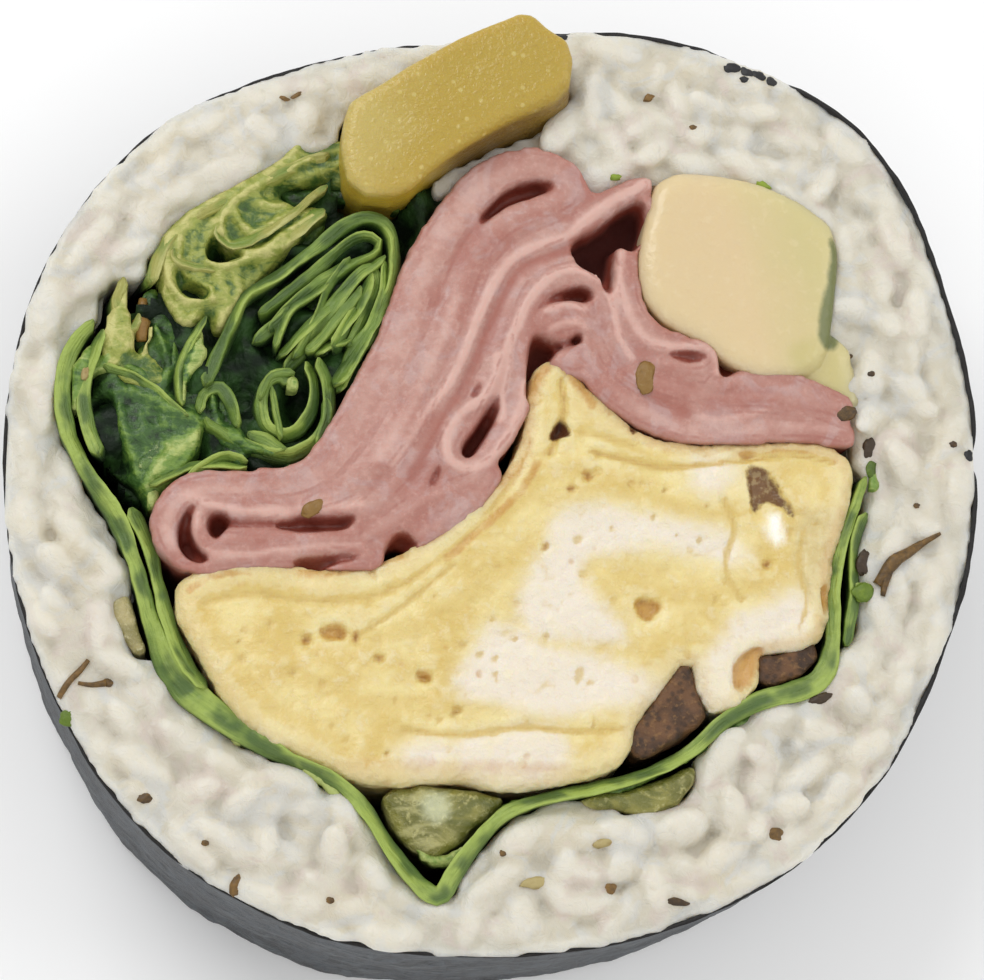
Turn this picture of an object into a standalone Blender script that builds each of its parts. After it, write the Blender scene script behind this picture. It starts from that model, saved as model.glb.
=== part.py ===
# A thick round slice of kimbap, lying on one cut face with the other face up.
# Lengths in the tables are millimetres: x to the right and y away on the upper face.
import math
import random

import bmesh
import bpy
import numpy as np
from mathutils import Matrix, Vector

MM = 0.001
SLICE = "kimbap"

# The slice
THICKNESS = 20.0
CENTRE = (0.0, 0.75)
RIM_RADII = (31.1, 32.1, 33.8, 31.9, 29.3, 29.5, 31.0, 30.95,
             30.25, 30.2, 30.7, 30.35, 29.7, 30.0, 30.7, 30.5)
TWIST = math.radians(-3.5)
GAP = 0.3

# Seaweed and rice
NORI_THICKNESS = 0.4
NORI_FOOT = 0.4
NORI_TOP = 19.3
NORI_POINTS = 66
RICE_TOP = 19.5
RICE_POINTS = 84
GRAIN_LENGTH = 5.6
GRAIN_WIDTH = 2.9
GRAIN_SPACING = 2.3
GRAIN_TRIES = 30000
GRAIN_SEED = 41
BORDER_STEP = 0.5
BORDER_CLEAR = 0.5
RADISH_CLEAR = 1.5

CUT_FOOT = -2.0
CUT_TOP = 25.0

# Fillings
WIDE_STEP = 1.3
CURL_STEP = 0.8
HAM_STEP = 0.9
FOOT = 0.1
LEAF = 0.45
LEAF_SWAY = 0.12
RADISH_LEAN = (-0.5, 1.5)
RADISH_LEAN_FROM = 18.3
RADISH_TOP = 22.3
RADISH_SPREAD = 0.33
RADISH_MIDDLE = 24.5

COLOURS = {
    "nori": (0.030, 0.034, 0.042),
    "rice": (0.72, 0.68, 0.60),
    "pickled_radish": (0.62, 0.44, 0.06),
    "radish_sliver": (0.50, 0.45, 0.26),
    "cucumber": (0.80, 0.70, 0.40),
    "egg": (0.82, 0.62, 0.25),
    "burdock": (0.14, 0.07, 0.02),
    "ham": (0.66, 0.30, 0.27),
    "leaf": (0.09, 0.19, 0.03),
    "lettuce": (0.25, 0.32, 0.06),
    "pickle": (0.30, 0.28, 0.10),
}

# Folded slices of ham: the middle line as x, y and thickness
HAM = {
    "ham_1": ((-7.6, -4.4, 0.95), (-10, -4.4, 0.95), (-13, -4.4, 0.95), (-15.6, -4.5, 1.0),
              (-17.6, -4.75, 1.05), (-19.2, -4.35, 1.15), (-20, -3.2, 1.2), (-20, -1.9, 1.2),
              (-19.2, -0.75, 1.2), (-17.6, -0.15, 1.2), (-15.4, -0.1, 1.25), (-13.4, -0.05, 1.35),
              (-11.7, 0.35, 1.5), (-10.2, 1.5, 1.8), (-9, 3.2, 2.0), (-7.9, 5.2, 2.0),
              (-5.8, 9.6, 2.0), (-4.4, 13.8, 2.0), (-3.4, 15.8, 2.0), (-2.2, 17.7, 2.0),
              (-0.8, 19.5, 1.9), (0.9, 20.8, 1.75), (2.8, 21.1, 1.7), (4.4, 20.6, 1.6),
              (5, 19.7, 1.5), (4.1, 18.9, 1.5), (2.6, 18.35, 1.6), (1, 17.6, 1.8),
              (-0.45, 16.35, 1.85), (-1.6, 14.4, 1.9), (-3.2, 9.9, 1.95), (-5.25, 5.35, 1.95),
              (-6.5, 3, 1.9), (-8, 1, 1.7), (-9.6, -0.4, 1.3), (-11.4, -1.2, 0.8)),
    "ham_2": ((9.6, 20.1, 0.6), (8.2, 19.2, 1.1), (6.4, 18.1, 1.2), (4.5, 17, 1.2),
              (2.6, 16.1, 1.2), (1.1, 15, 1.15), (0.1, 13.4, 1.1), (-1.4, 9.2, 1.1),
              (-3.3, 4.8, 1.1), (-4.5, 2.6, 1.1), (-5.9, 0.6, 1.1), (-7.6, -1.2, 1.1),
              (-9.4, -2.6, 0.95), (-11.6, -3.2, 0.85), (-14, -3.3, 0.85), (-16.2, -3.5, 0.8),
              (-17.8, -3.1, 0.8), (-18.4, -2.2, 0.85), (-17.8, -1.5, 0.7), (-16.3, -1.75, 0.9),
              (-14.6, -1.75, 1.1), (-13.2, -1.6, 0.8)),
    "ham_3": ((5.3, 15.2, 0.5), (3.9, 14.95, 0.8), (2.6, 14.45, 0.9), (1.5, 13.2, 0.95),
              (0.8, 11.4, 0.95), (0.25, 9.3, 0.95), (-0.5, 7.2, 1.05), (-1.45, 5.2, 1.1),
              (-2.6, 3.5, 1.05), (-3, 2.3, 1.0), (-2.2, 1.6, 1.0), (-1, 2.1, 1.1),
              (0.2, 3.4, 1.3), (1.15, 5.2, 1.4), (1.6, 7.2, 1.2), (1.75, 9.3, 1.1),
              (2.1, 11.2, 1.1), (3, 12.9, 1.1), (4.5, 13.85, 1.15), (6, 13.65, 1.15),
              (6.9, 12.4, 1.15), (7.3, 10.8, 1.2), (8, 9.1, 1.3), (9.2, 7.8, 1.35),
              (11, 6.95, 1.35), (13.5, 6.5, 1.35), (16.5, 6.4, 1.3), (19.3, 6.25, 1.1),
              (21.2, 5.8, 0.7)),
    "ham_4": ((3.2, 10.7, 0.5), (3.9, 11.4, 0.9), (4.9, 11.7, 1.1), (5.7, 11.1, 1.1),
              (5.9, 9.8, 1.1), (6.3, 8.4, 1.2), (7.1, 7.1, 1.3), (8.5, 5.95, 1.35),
              (10.4, 5, 1.5), (13, 4.45, 1.6), (17, 4.6, 1.5), (20.3, 4.5, 1.2),
              (22.3, 4, 0.8)),
    "ham_5": ((8.7, 15.3, 0.5), (8.55, 13.6, 1.1), (8.9, 11.6, 1.2), (10.1, 10.2, 1.2),
              (11.9, 9.5, 0.9), (13.3, 9.15, 0.7), (13.7, 8.65, 0.55), (12.6, 8.3, 0.55),
              (10.9, 8.45, 0.6)),
    "ham_6": ((-7.9, -3.2, 0.8), (-6.3, -2.2, 1.2), (-4.8, -1.1, 1.3), (-3.4, -0.35, 1.2),
              (-1.9, 0.25, 1.0), (-0.7, 0.95, 0.6), (0, 1.3, 0.45), (-0.1, 0.75, 0.5),
              (-1, -0.2, 0.9), (-2.3, -1.4, 1.1), (-3.7, -2.45, 1.0), (-4.9, -3.1, 0.8)),
}

# Leaves: the middle line as x and y
LEAVES = {
    "leaf_wrap": ((-24.9, 10.2), (-26.2, 8.4), (-26.7, 6), (-26.3, 3.4), (-25, 0.6),
                  (-23.3, -2), (-22.2, -4.4), (-21.5, -6.6), (-20.8, -9), (-19.7, -11.7),
                  (-17.8, -13.5), (-15.2, -15.3), (-12.3, -17), (-9.4, -18.4), (-7.6, -20.1),
                  (-6, -22.6), (-4.3, -24.6), (-3.2, -25.2), (-2.3, -23.9), (-0.9, -21.9),
                  (0.9, -20.1), (3.3, -19.15), (6.3, -18.5), (9.5, -17.6), (12.2, -16.2),
                  (14.3, -14.4), (16.6, -13), (19.2, -12.2), (20.7, -11.3), (21.4, -9.2),
                  (21.5, -6), (22, -3.2), (22.9, -0.8), (23.7, 1.4)),
    "leaf_wrap_left": ((-22.3, -1.6), (-21.2, -3.8), (-20.6, -5.8), (-20.1, -7.8),
                       (-19.4, -9.8), (-18.6, -11.4), (-17.5, -12.7)),
    "leaf_wrap_right": ((23.7, -0.9), (23.1, -2.6), (22.9, -4.4), (22.9, -6.2), (22.6, -7.8),
                        (22.3, -9.4)),
    "leaf_loop": ((-17.9, 6.3), (-16.9, 9.2), (-15.6, 12.2), (-13.4, 13.6), (-11.3, 15.2),
                  (-9.4, 16.9), (-7.9, 17.6), (-6.6, 17.2), (-6.05, 15.8), (-6.2, 13.4),
                  (-7.15, 11), (-8.4, 8.6), (-9.8, 6.5)),
    "leaf_fold": ((-14.7, 11.1), (-12.8, 12.7), (-10.8, 14.3), (-9.2, 15.7), (-8, 16.3),
                  (-7.25, 15.9), (-7.9, 15.3), (-9.4, 14.5), (-11.3, 12.9), (-12.9, 11.3),
                  (-14, 9.9)),
    "leaf_petal_1": ((-13.3, 8.3), (-11.6, 10.1), (-10, 11.9), (-8.7, 13.6), (-7.8, 14.4),
                     (-7.2, 14), (-7.25, 12.8), (-8, 11), (-9, 9.1)),
    "leaf_petal_2": ((-11.7, 8.7), (-10.4, 10.1), (-9.2, 11.7), (-8.3, 13)),
    "leaf_petal_3": ((-10.1, 8.9), (-9.3, 10.3), (-8.6, 11.6)),
    "leaf_curl_outer": ((-10.4, 5.8), (-10.35, 4.6), (-10.8, 3.4), (-11.7, 2.5), (-13, 2.1),
                        (-14.6, 2.5), (-16.4, 3.4), (-17.8, 4.3)),
    "leaf_curl_inner": ((-11.6, 8), (-11.15, 6.8), (-11.2, 5.2), (-11.8, 4), (-12.8, 3.35),
                        (-13.9, 3.7), (-14.3, 4.9), (-14.1, 6.4), (-13.3, 7.1), (-12.5, 6.7)),
    "leaf_blade": ((-18.4, 11), (-19.4, 8.5), (-19.5, 5.5)),
    "leaf_rim": ((-24.3, 9.6), (-25, 7.6), (-25.4, 5.6), (-25.1, 3.4), (-24.4, 1.6)),
    "leaf_crinkle": ((-24.2, 7.4), (-22.6, 6.9), (-21, 6), (-19.8, 4.9), (-18.9, 4.3)),
    "leaf_under": ((-21.2, -0.2), (-20, 0.4), (-18.5, 1.2), (-16.8, 1.35), (-15.2, 1.2)),
}

# Frilled lettuce: the middle line as x and y
LETTUCE = {
    "lettuce_1": ((-10.4, 21.7), (-12.5, 20.9), (-15, 19.5), (-17.4, 18), (-19.8, 16.4),
                  (-20.8, 14.8), (-21.3, 12.8)),
    "lettuce_2": ((-20, 15.1), (-19.2, 14.3), (-17.2, 14), (-14.8, 14.9), (-12.4, 16.2),
                  (-10.6, 18)),
    "lettuce_3": ((-17, 17), (-17.2, 16.2), (-16.3, 15.5), (-14.8, 15.9), (-13.2, 17),
                  (-11.6, 18.6), (-10.4, 19.6)),
    "lettuce_4": ((-23.3, 13.6), (-23.9, 12), (-23.5, 10.4), (-22.4, 9.8), (-22.1, 11.2)),
}

# Solid pieces: the outline as x and y
EGG = ((-19, -6.6), (-17.5, -5.7), (-14.5, -5.3), (-12.3, -5.5), (-10.3, -5.9), (-7.6, -5.5),
       (-5.2, -4.5), (-2.6, -2.8), (-0.3, -0.7), (1.5, 1.3), (2.4, 3.4), (2.6, 6), (3.5, 7.9),
       (4.7, 7.8), (6, 6), (8.2, 4.3), (10.8, 3.2), (14, 2.7), (17.5, 3.2), (20.4, 3.1),
       (22.2, 2.1), (22.1, -0.6), (21.2, -3.6), (20.7, -7), (20.3, -8.7), (18.6, -9.4),
       (16.5, -9.8), (16.1, -11.6), (15.1, -12.8), (13.8, -13.4), (13.3, -12.4), (12.9, -10.4),
       (11.5, -10.3), (10.1, -12.2), (8.3, -14.6), (7.6, -16.6), (4.5, -17.8), (2, -18.2),
       (-3, -17.8), (-7.8, -18), (-10.8, -16.7), (-14.3, -15), (-16.6, -12.2), (-18, -9.9),
       (-19, -8))
CUCUMBER = ((10.6, 18.9), (10.9, 19.9), (12, 20.5), (14.6, 20.4), (17.2, 19.9), (19.4, 18.8),
            (20.8, 17.6), (21.2, 16.2), (21, 13.2), (20.6, 10.2), (20.1, 8.8), (19, 8.2),
            (17.2, 8.1), (15.6, 8.7), (13.1, 10.35), (11.1, 11.5), (10.2, 12.6), (9.8, 15.2))
RADISH = ((-9.5, 23.2), (-9.2, 24.2), (-8.2, 24.9), (-5.6, 26.3), (-2.2, 27.8), (0.4, 28.5),
          (1.8, 28.8), (2.7, 28.5), (3.6, 27.7), (4.9, 27), (5.3, 26), (5.1, 24.8), (4.2, 24.1),
          (2.4, 23.4), (-0.1, 22.4), (-2.2, 21.2), (-4, 20), (-5.2, 18.9), (-6.4, 18.4),
          (-8.2, 18.3), (-9.3, 19.2), (-9.7, 21))
RADISH_BEND = (-9.5, 5.3)
# The rice is open here, where the radish reaches the seaweed
RADISH_NOTCH = ((-1.6, 27), (-1.6, 32), (4.4, 32), (4.4, 27))
BURDOCK_WEDGE = ((11.9, -10.8), (12.5, -11.2), (12.8, -12.8), (13.2, -14), (12, -15.1),
                 (10.3, -16.1), (9, -16.6), (8.5, -16), (8.9, -14.9), (10.2, -13.1), (11.1, -11.6))
BURDOCK_SLIVER = ((16.9, -10.3), (18.6, -9.9), (20.2, -9.3), (20.5, -10.1), (19.4, -11.2),
                  (17.6, -11.9), (16.7, -11.7))
LEAF_STEM = ((-20.2, 3.4), (-18.8, 3.2), (-18.6, 2.5), (-19.6, 1.6), (-21, 0.9), (-22.2, 0),
             (-22, 1.2), (-21.2, 2.4))
PICKLE_1 = ((-6.7, -19.2), (-4.5, -18.5), (-1.5, -18.75), (0.7, -19.2), (-0.5, -20.4),
            (-1.9, -21.8), (-3.4, -22.8), (-4.8, -22.3), (-6, -20.9))
PICKLE_2 = ((5.2, -19.3), (8, -18.7), (10.6, -18), (12.6, -17.1), (12.4, -18.2), (11.4, -19.4),
            (10, -20), (7.4, -19.7))
RADISH_SLIVER = ((-23.3, -7.4), (-22.4, -6.9), (-22, -8.4), (-21.3, -10.4), (-21.9, -10.4),
                 (-22.8, -9.3))


# The hollow in the rice follows the outer leaf, then these points round the other fillings
HOLLOW = ((22.6, 4.6), (20.6, 6.2), (19.6, 9.4), (19.6, 16.8), (12.4, 19.3), (8.2, 19.2),
          (6.3, 19.9), (2.8, 21), (0.4, 20.4), (-3, 19.6), (-6.4, 19.4), (-8.8, 20.4),
          (-10.4, 21.7), (-15, 19.5), (-19.8, 16.4), (-21.3, 13.4), (-23.3, 13.4))


def clear_scene():
    for item in list(bpy.data.objects):
        bpy.data.objects.remove(item)


def make_collection(name, hidden=False):
    group = bpy.data.collections.new(name)
    bpy.context.scene.collection.children.link(group)
    group.hide_render = hidden
    return group


def make_material(name, roughness):
    material = bpy.data.materials.new(name)
    material.use_nodes = True
    shader = material.node_tree.nodes["Principled BSDF"]
    shader.inputs["Base Color"].default_value = (*COLOURS[name], 1.0)
    shader.inputs["Roughness"].default_value = roughness
    shader.inputs["Metallic"].default_value = 0.0
    return material


# A curve through all the points, read at about even steps
def smooth_line(points, step, closed=False):
    count = len(points)
    spans = count if closed else count - 1
    line = []
    for i in range(spans):
        if closed:
            quad = [points[(i + k) % count] for k in (-1, 0, 1, 2)]
        else:
            quad = [points[min(max(i + k, 0), count - 1)] for k in (-1, 0, 1, 2)]
        a, b, c, d = (Vector(point) for point in quad)
        pieces = max(1, round((c - b).length / step))
        for j in range(pieces):
            t = j / pieces
            line.append(0.5 * (2 * b + (c - a) * t + (2 * a - 5 * b + 4 * c - d) * t * t
                               + (3 * b - a - 3 * c + d) * t ** 3))
    if not closed:
        line.append(Vector(points[-1]))
    return line


def rim_radius(angle):
    place = (angle % math.tau) / math.tau * len(RIM_RADII)
    i = int(place)
    t = place - i
    a, b, c, d = (RIM_RADII[(i + k) % len(RIM_RADII)] for k in (-1, 0, 1, 2))
    return 0.5 * (2 * b + (c - a) * t + (2 * a - 5 * b + 4 * c - d) * t * t
                  + (3 * b - a - 3 * c + d) * t ** 3)


def polar(angle, radius):
    return Vector((CENTRE[0] + radius * math.cos(angle), CENTRE[1] + radius * math.sin(angle)))


def rim_outline(inset, count):
    angles = [math.tau * i / count for i in range(count)]
    return [polar(angle, rim_radius(angle) - inset) for angle in angles]


# The whole slice is turned a little from its upper face down to its foot
def twist(point):
    turn = TWIST * (point.z / MM - THICKNESS) / THICKNESS
    x = point.x - CENTRE[0] * MM
    y = point.y - CENTRE[1] * MM
    return Vector((point.x - turn * y, point.y + turn * x, point.z))


def link_mesh(name, mesh, material, group):
    mesh.materials.clear()
    mesh.materials.append(material)
    item = bpy.data.objects.new(name, mesh)
    group.objects.link(item)
    mesh.shade_smooth()
    mesh.set_sharp_from_angle(angle=math.radians(35))
    return item


# A flat filled outline, raised from low to high, as a welded mesh
def raised_outline(outlines, low, high, edge=0.0):
    curve = bpy.data.curves.new("outline", "CURVE")
    curve.dimensions = "2D"
    curve.fill_mode = "BOTH"
    curve.extrude = ((high - low) / 2 - edge) * MM
    curve.bevel_depth = edge * MM
    curve.bevel_resolution = 0
    curve.offset = -edge * MM
    for outline in outlines:
        spline = curve.splines.new("POLY")
        spline.points.add(len(outline) - 1)
        spline.use_cyclic_u = True
        for knot, point in zip(spline.points, outline):
            knot.co = (point[0] * MM, point[1] * MM, 0.0, 1.0)
    helper = bpy.data.objects.new("outline", curve)
    bpy.context.scene.collection.objects.link(helper)
    bpy.context.view_layer.update()
    graph = bpy.context.evaluated_depsgraph_get()
    mesh = bpy.data.meshes.new_from_object(helper.evaluated_get(graph))
    bpy.data.objects.remove(helper)
    shape = bmesh.new()
    shape.from_mesh(mesh)
    bmesh.ops.remove_doubles(shape, verts=shape.verts, dist=0.00001)
    bmesh.ops.translate(shape, verts=shape.verts, vec=(0, 0, (low + high) / 2 * MM))
    bmesh.ops.recalc_face_normals(shape, faces=shape.faces)
    shape.to_mesh(mesh)
    shape.free()
    return mesh


def cut_levels(mesh, heights):
    shape = bmesh.new()
    shape.from_mesh(mesh)
    for height in heights:
        everything = shape.verts[:] + shape.edges[:] + shape.faces[:]
        bmesh.ops.bisect_plane(shape, geom=everything, plane_co=(0, 0, height * MM),
                               plane_no=(0, 0, 1))
    shape.to_mesh(mesh)
    shape.free()


def move_points(mesh, change):
    for vertex in mesh.vertices:
        vertex.co = change(vertex.co)


# A gentle unevenness of a cut face, at most 1
def unevenness(x, y, phase):
    return 0.5 * math.sin(0.31 * x + 0.17 * y + phase) + 0.5 * math.sin(0.23 * y - 0.19 * x + 2 * phase)


def tilt_top(mesh, amount, phase):
    def change(point):
        if point.z < 0.5 * THICKNESS * MM:
            return point
        lift = amount * unevenness(point.x / MM, point.y / MM, phase)
        return point + Vector((0, 0, lift * MM))
    move_points(mesh, change)


def add_block(name, outline, top, material, group, edge=0.35, foot=FOOT, uneven=0.15, phase=0.0):
    mesh = raised_outline([smooth_line(outline, WIDE_STEP, closed=True)], foot, top, edge)
    tilt_top(mesh, uneven, phase)
    move_points(mesh, twist)
    return link_mesh(name, mesh, material, group)


# A thin sheet that stands on the floor and follows a line, with its thickness from Solidify
def add_sheet(name, points, top, material, group, levels, sway, step, phase=0.0):
    line = smooth_line(points, step)
    count = len(line) - 1
    thickest = max(point[2] for point in line)
    shape = bmesh.new()
    bmesh.ops.create_grid(shape, x_segments=count, y_segments=levels, size=0.5)
    layer = shape.verts.layers.deform.verify()
    for vertex in shape.verts:
        i = round((vertex.co.x + 0.5) * count)
        height = vertex.co.y + 0.5
        ahead, behind = line[min(i + 1, count)], line[max(i - 1, 0)]
        along = Vector((ahead[0] - behind[0], ahead[1] - behind[1])).normalized()
        wave = sway * math.sin(math.pi * height) * math.sin(0.5 * i + 4 * height + phase)
        x = line[i][0] - along.y * wave
        y = line[i][1] + along.x * wave
        lift = 0.35 * unevenness(4 * x, 4 * y, phase)
        z = FOOT + (top + lift - FOOT) * height
        vertex.co = twist(Vector((x * MM, y * MM, z * MM)))
        vertex[layer][0] = line[i][2] / thickest
    bmesh.ops.triangulate(shape, faces=shape.faces, quad_method="FIXED")
    mesh = bpy.data.meshes.new(name)
    shape.to_mesh(mesh)
    shape.free()
    item = link_mesh(name, mesh, material, group)
    item.vertex_groups.new(name="thickness")
    solid = item.modifiers.new("Thickness", "SOLIDIFY")
    solid.thickness = thickest * MM
    solid.offset = 0.0
    solid.use_even_offset = True
    solid.vertex_group = "thickness"
    solid.thickness_vertex_group = 0.0
    return item


def add_ham(group):
    material = make_material("ham", 0.45)
    for i, (name, points) in enumerate(HAM.items()):
        add_sheet(name, points, THICKNESS + 0.5, material, group, 1, 0.0, HAM_STEP, phase=i)


def add_leaves(group):
    leaf = make_material("leaf", 0.5)
    lettuce = make_material("lettuce", 0.5)
    for i, (name, points) in enumerate(LEAVES.items()):
        step = WIDE_STEP if name.startswith("leaf_wrap") else CURL_STEP
        line = [(*point, LEAF) for point in points]
        add_sheet(name, line, THICKNESS + 0.1, leaf, group, 2, LEAF_SWAY, step, phase=i)
    for i, (name, points) in enumerate(LETTUCE.items()):
        line = [(*point, LEAF) for point in points]
        add_sheet(name, line, THICKNESS - 0.2, lettuce, group, 2, LEAF_SWAY, CURL_STEP, phase=i)
    add_block("leaf_stem", LEAF_STEM, THICKNESS - 0.6, leaf, group, edge=0.2)


def add_solid_fillings(group):
    egg = make_material("egg", 0.55)
    cucumber = make_material("cucumber", 0.35)
    burdock = make_material("burdock", 0.6)
    pickle = make_material("pickle", 0.3)
    sliver = make_material("radish_sliver", 0.35)
    add_block("egg_roll", EGG, THICKNESS + 0.1, egg, group, foot=0.0, phase=1.0)
    add_block("cucumber", CUCUMBER, THICKNESS + 0.7, cucumber, group, phase=2.0)
    add_block("burdock_wedge", BURDOCK_WEDGE, THICKNESS - 0.3, burdock, group, edge=0.25)
    add_block("burdock_sliver", BURDOCK_SLIVER, THICKNESS - 0.4, burdock, group, edge=0.2)
    add_block("pickle_slice_1", PICKLE_1, THICKNESS - 0.6, pickle, group, phase=3.0)
    add_block("pickle_slice_2", PICKLE_2, THICKNESS - 0.5, pickle, group, edge=0.3, phase=4.0)
    add_block("radish_sliver", RADISH_SLIVER, THICKNESS - 0.8, sliver, group, edge=0.15)


# The radish leans out over the rim, most at its right end
def lean_out(point):
    rise = max(0.0, point.z / MM - RADISH_LEAN_FROM) / (RADISH_TOP - RADISH_LEAN_FROM)
    start, end = RADISH_BEND
    rise *= max(0.15, (point.x / MM - start) / (end - start))
    away = RADISH_LEAN[1] + RADISH_SPREAD * (point.y / MM - RADISH_MIDDLE)
    return point + Vector((RADISH_LEAN[0] * rise * MM, away * rise * MM, 0))


def radish_mesh(outline, low, high, edge):
    mesh = raised_outline([outline], low, high, edge)
    cut_levels(mesh, (RADISH_LEAN_FROM, THICKNESS))
    move_points(mesh, lean_out)
    move_points(mesh, twist)
    return mesh


# An outline, listed clockwise, moved outwards by a distance, with its corners mitred
def grown(outline, distance):
    count = len(outline)
    bigger = []
    for i, point in enumerate(outline):
        before = (point - outline[i - 1]).normalized()
        after = (outline[(i + 1) % count] - point).normalized()
        along = (before + after).normalized()
        reach = distance / max(0.5, along.dot(after))
        bigger.append(point + Vector((-along.y, along.x)) * reach)
    return bigger


# The outline of a band along a line, wider than the sheet that follows the line
def band(points, step):
    line = smooth_line(points, step)
    line[0] += (line[0] - line[1]).normalized() * GAP
    line[-1] += (line[-1] - line[-2]).normalized() * GAP
    left, right = [], []
    for i, point in enumerate(line):
        along = line[min(i + 1, len(line) - 1)] - line[max(i - 1, 0)]
        away = Vector((-along[1], along[0])).normalized() * (point[2] / 2 + GAP)
        left.append(Vector((point[0], point[1])) + away)
        right.append(Vector((point[0], point[1])) - away)
    return left + right[::-1]


def add_cutter(name, mesh, material, cutters):
    cutter = link_mesh(name, mesh, material, cutters)
    cutter.display_type = "WIRE"
    cutter.hide_render = True


def add_radish(group, cutters):
    outline = smooth_line(RADISH, WIDE_STEP, closed=True)
    material = make_material("pickled_radish", 0.3)
    link_mesh("pickled_radish", radish_mesh(outline, FOOT, RADISH_TOP, 0.35), material, group)
    wide = radish_mesh(grown(outline, GAP), CUT_FOOT, CUT_TOP, 0.0)
    add_cutter("radish_cutter", wide, material, cutters)


def add_nori(group):
    outer = rim_outline(0.0, NORI_POINTS)
    inner = rim_outline(NORI_THICKNESS, NORI_POINTS)
    mesh = raised_outline([outer, inner], NORI_FOOT, NORI_TOP)
    tilt_top(mesh, 0.25, 5.0)
    move_points(mesh, twist)
    return link_mesh("nori", mesh, make_material("nori", 0.4), group)


# The sheets that the rice is pressed against: points as x, y and thickness, and the step
def border_sheets():
    sheets = [(HAM[name], HAM_STEP) for name in ("ham_1", "ham_2", "ham_3", "ham_4")]
    for name in ("leaf_wrap", "leaf_wrap_right"):
        sheets.append(([(*point, LEAF + LEAF_SWAY) for point in LEAVES[name]], WIDE_STEP))
    for name in ("lettuce_1", "lettuce_4"):
        sheets.append(([(*point, LEAF + LEAF_SWAY) for point in LETTUCE[name]], CURL_STEP))
    return sheets


def border_blocks():
    return [smooth_line(points, WIDE_STEP, closed=True)
            for points in (CUCUMBER, BURDOCK_SLIVER, PICKLE_2, RADISH_SLIVER)]


def hollow_outline():
    return smooth_line(LEAVES["leaf_wrap"], WIDE_STEP) + [Vector(point) for point in HOLLOW]


def add_rice_cutters(material, cutters):
    outlines = [hollow_outline(), RADISH_NOTCH]
    outlines += [band(points, step) for points, step in border_sheets()]
    outlines += [grown(outline, GAP) for outline in border_blocks()]
    for i, outline in enumerate(outlines):
        mesh = raised_outline([outline], CUT_FOOT, CUT_TOP)
        move_points(mesh, twist)
        add_cutter(f"rice_cutter_{i + 1}", mesh, material, cutters)


# Where a grain may lie: points to keep clear of, with how far to stay from each
def kept_clear():
    spots = [(point[0], point[1], point[2] / 2 + BORDER_CLEAR)
             for points, _ in border_sheets() for point in smooth_line(points, BORDER_STEP)]
    spots += [(point[0], point[1], BORDER_CLEAR) for outline in border_blocks()
              for point in smooth_line(outline, BORDER_STEP, closed=True)]
    spots += [(point[0], point[1], RADISH_CLEAR)
              for point in smooth_line(RADISH, BORDER_STEP, closed=True)]
    return np.array(spots)


def inside(points, outline):
    x, y = points[:, 0:1], points[:, 1:2]
    ax, ay = outline[:, 0], outline[:, 1]
    bx, by = np.roll(ax, -1), np.roll(ay, -1)
    crosses = (ay > y) != (by > y)
    height = np.where(by == ay, 1.0, by - ay)
    return (crosses & (x < (bx - ax) * (y - ay) / height + ax)).sum(axis=1) % 2 == 1


def grain_fits(edge, spots, holes):
    from_centre = edge - np.array(CENTRE)
    bearings = np.arctan2(from_centre[:, 1], from_centre[:, 0])
    room = np.array([rim_radius(bearing) for bearing in bearings]) - NORI_THICKNESS - 2 * GAP
    if (np.hypot(*from_centre.T) > room).any():
        return False
    if any(inside(edge, hole).any() for hole in holes):
        return False
    away = np.hypot(edge[:, 0:1] - spots[:, 0], edge[:, 1:2] - spots[:, 1])
    return bool((away > spots[:, 2]).all())


def grain_mesh(spot, turn, length, width, height, pitch):
    shape = bmesh.new()
    bmesh.ops.create_uvsphere(shape, u_segments=6, v_segments=4, radius=0.5)
    size = Matrix.Diagonal((width * 0.9, width, length, 1.0))
    lie = Matrix.Rotation(math.radians(90) + pitch, 4, "Y")
    place = Matrix.Translation((*spot, height)) @ Matrix.Rotation(turn, 4, "Z")
    bmesh.ops.transform(shape, matrix=Matrix.Scale(MM, 4) @ place @ lie @ size, verts=shape.verts)
    mesh = bpy.data.meshes.new("grain")
    shape.to_mesh(mesh)
    shape.free()
    move_points(mesh, twist)
    return mesh


def add_grains(material, grains):
    draw = random.Random(GRAIN_SEED)
    spots = kept_clear()
    outlines = [hollow_outline(), smooth_line(RADISH, WIDE_STEP, closed=True), *border_blocks()]
    holes = [np.array(outline) for outline in outlines]
    ring = np.array([(math.cos(math.tau * k / 10) / 2, math.sin(math.tau * k / 10) / 2)
                     for k in range(10)])
    placed = []
    for _ in range(GRAIN_TRIES):
        spot = polar(draw.uniform(0, math.tau), draw.uniform(19.5, 31.5))
        turn = draw.uniform(0, math.pi)
        length = GRAIN_LENGTH * draw.uniform(0.85, 1.1)
        width = GRAIN_WIDTH * draw.uniform(0.9, 1.1)
        height = RICE_TOP - draw.uniform(0.0, 0.6)
        pitch = math.radians(draw.uniform(-12, 12))
        if any((spot - other).length < GRAIN_SPACING for other in placed):
            continue
        along = np.array((math.cos(turn), math.sin(turn))) * length
        across = np.array((-math.sin(turn), math.cos(turn))) * width
        edge = np.array(spot) + ring[:, 0:1] * along + ring[:, 1:2] * across
        if grain_fits(edge, spots, holes):
            placed.append(spot)
            link_mesh("grain", grain_mesh(spot, turn, length, width, height, pitch), material, grains)
    return len(placed)


def apply_modifiers(item):
    bpy.context.view_layer.update()
    graph = bpy.context.evaluated_depsgraph_get()
    mesh = bpy.data.meshes.new_from_object(item.evaluated_get(graph))
    item.modifiers.clear()
    item.data = mesh


def join_collection(item, operation, collection):
    change = item.modifiers.new("Join", "BOOLEAN")
    change.operation = operation
    change.operand_type = "COLLECTION"
    change.collection = collection
    change.solver = "EXACT"
    apply_modifiers(item)


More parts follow.
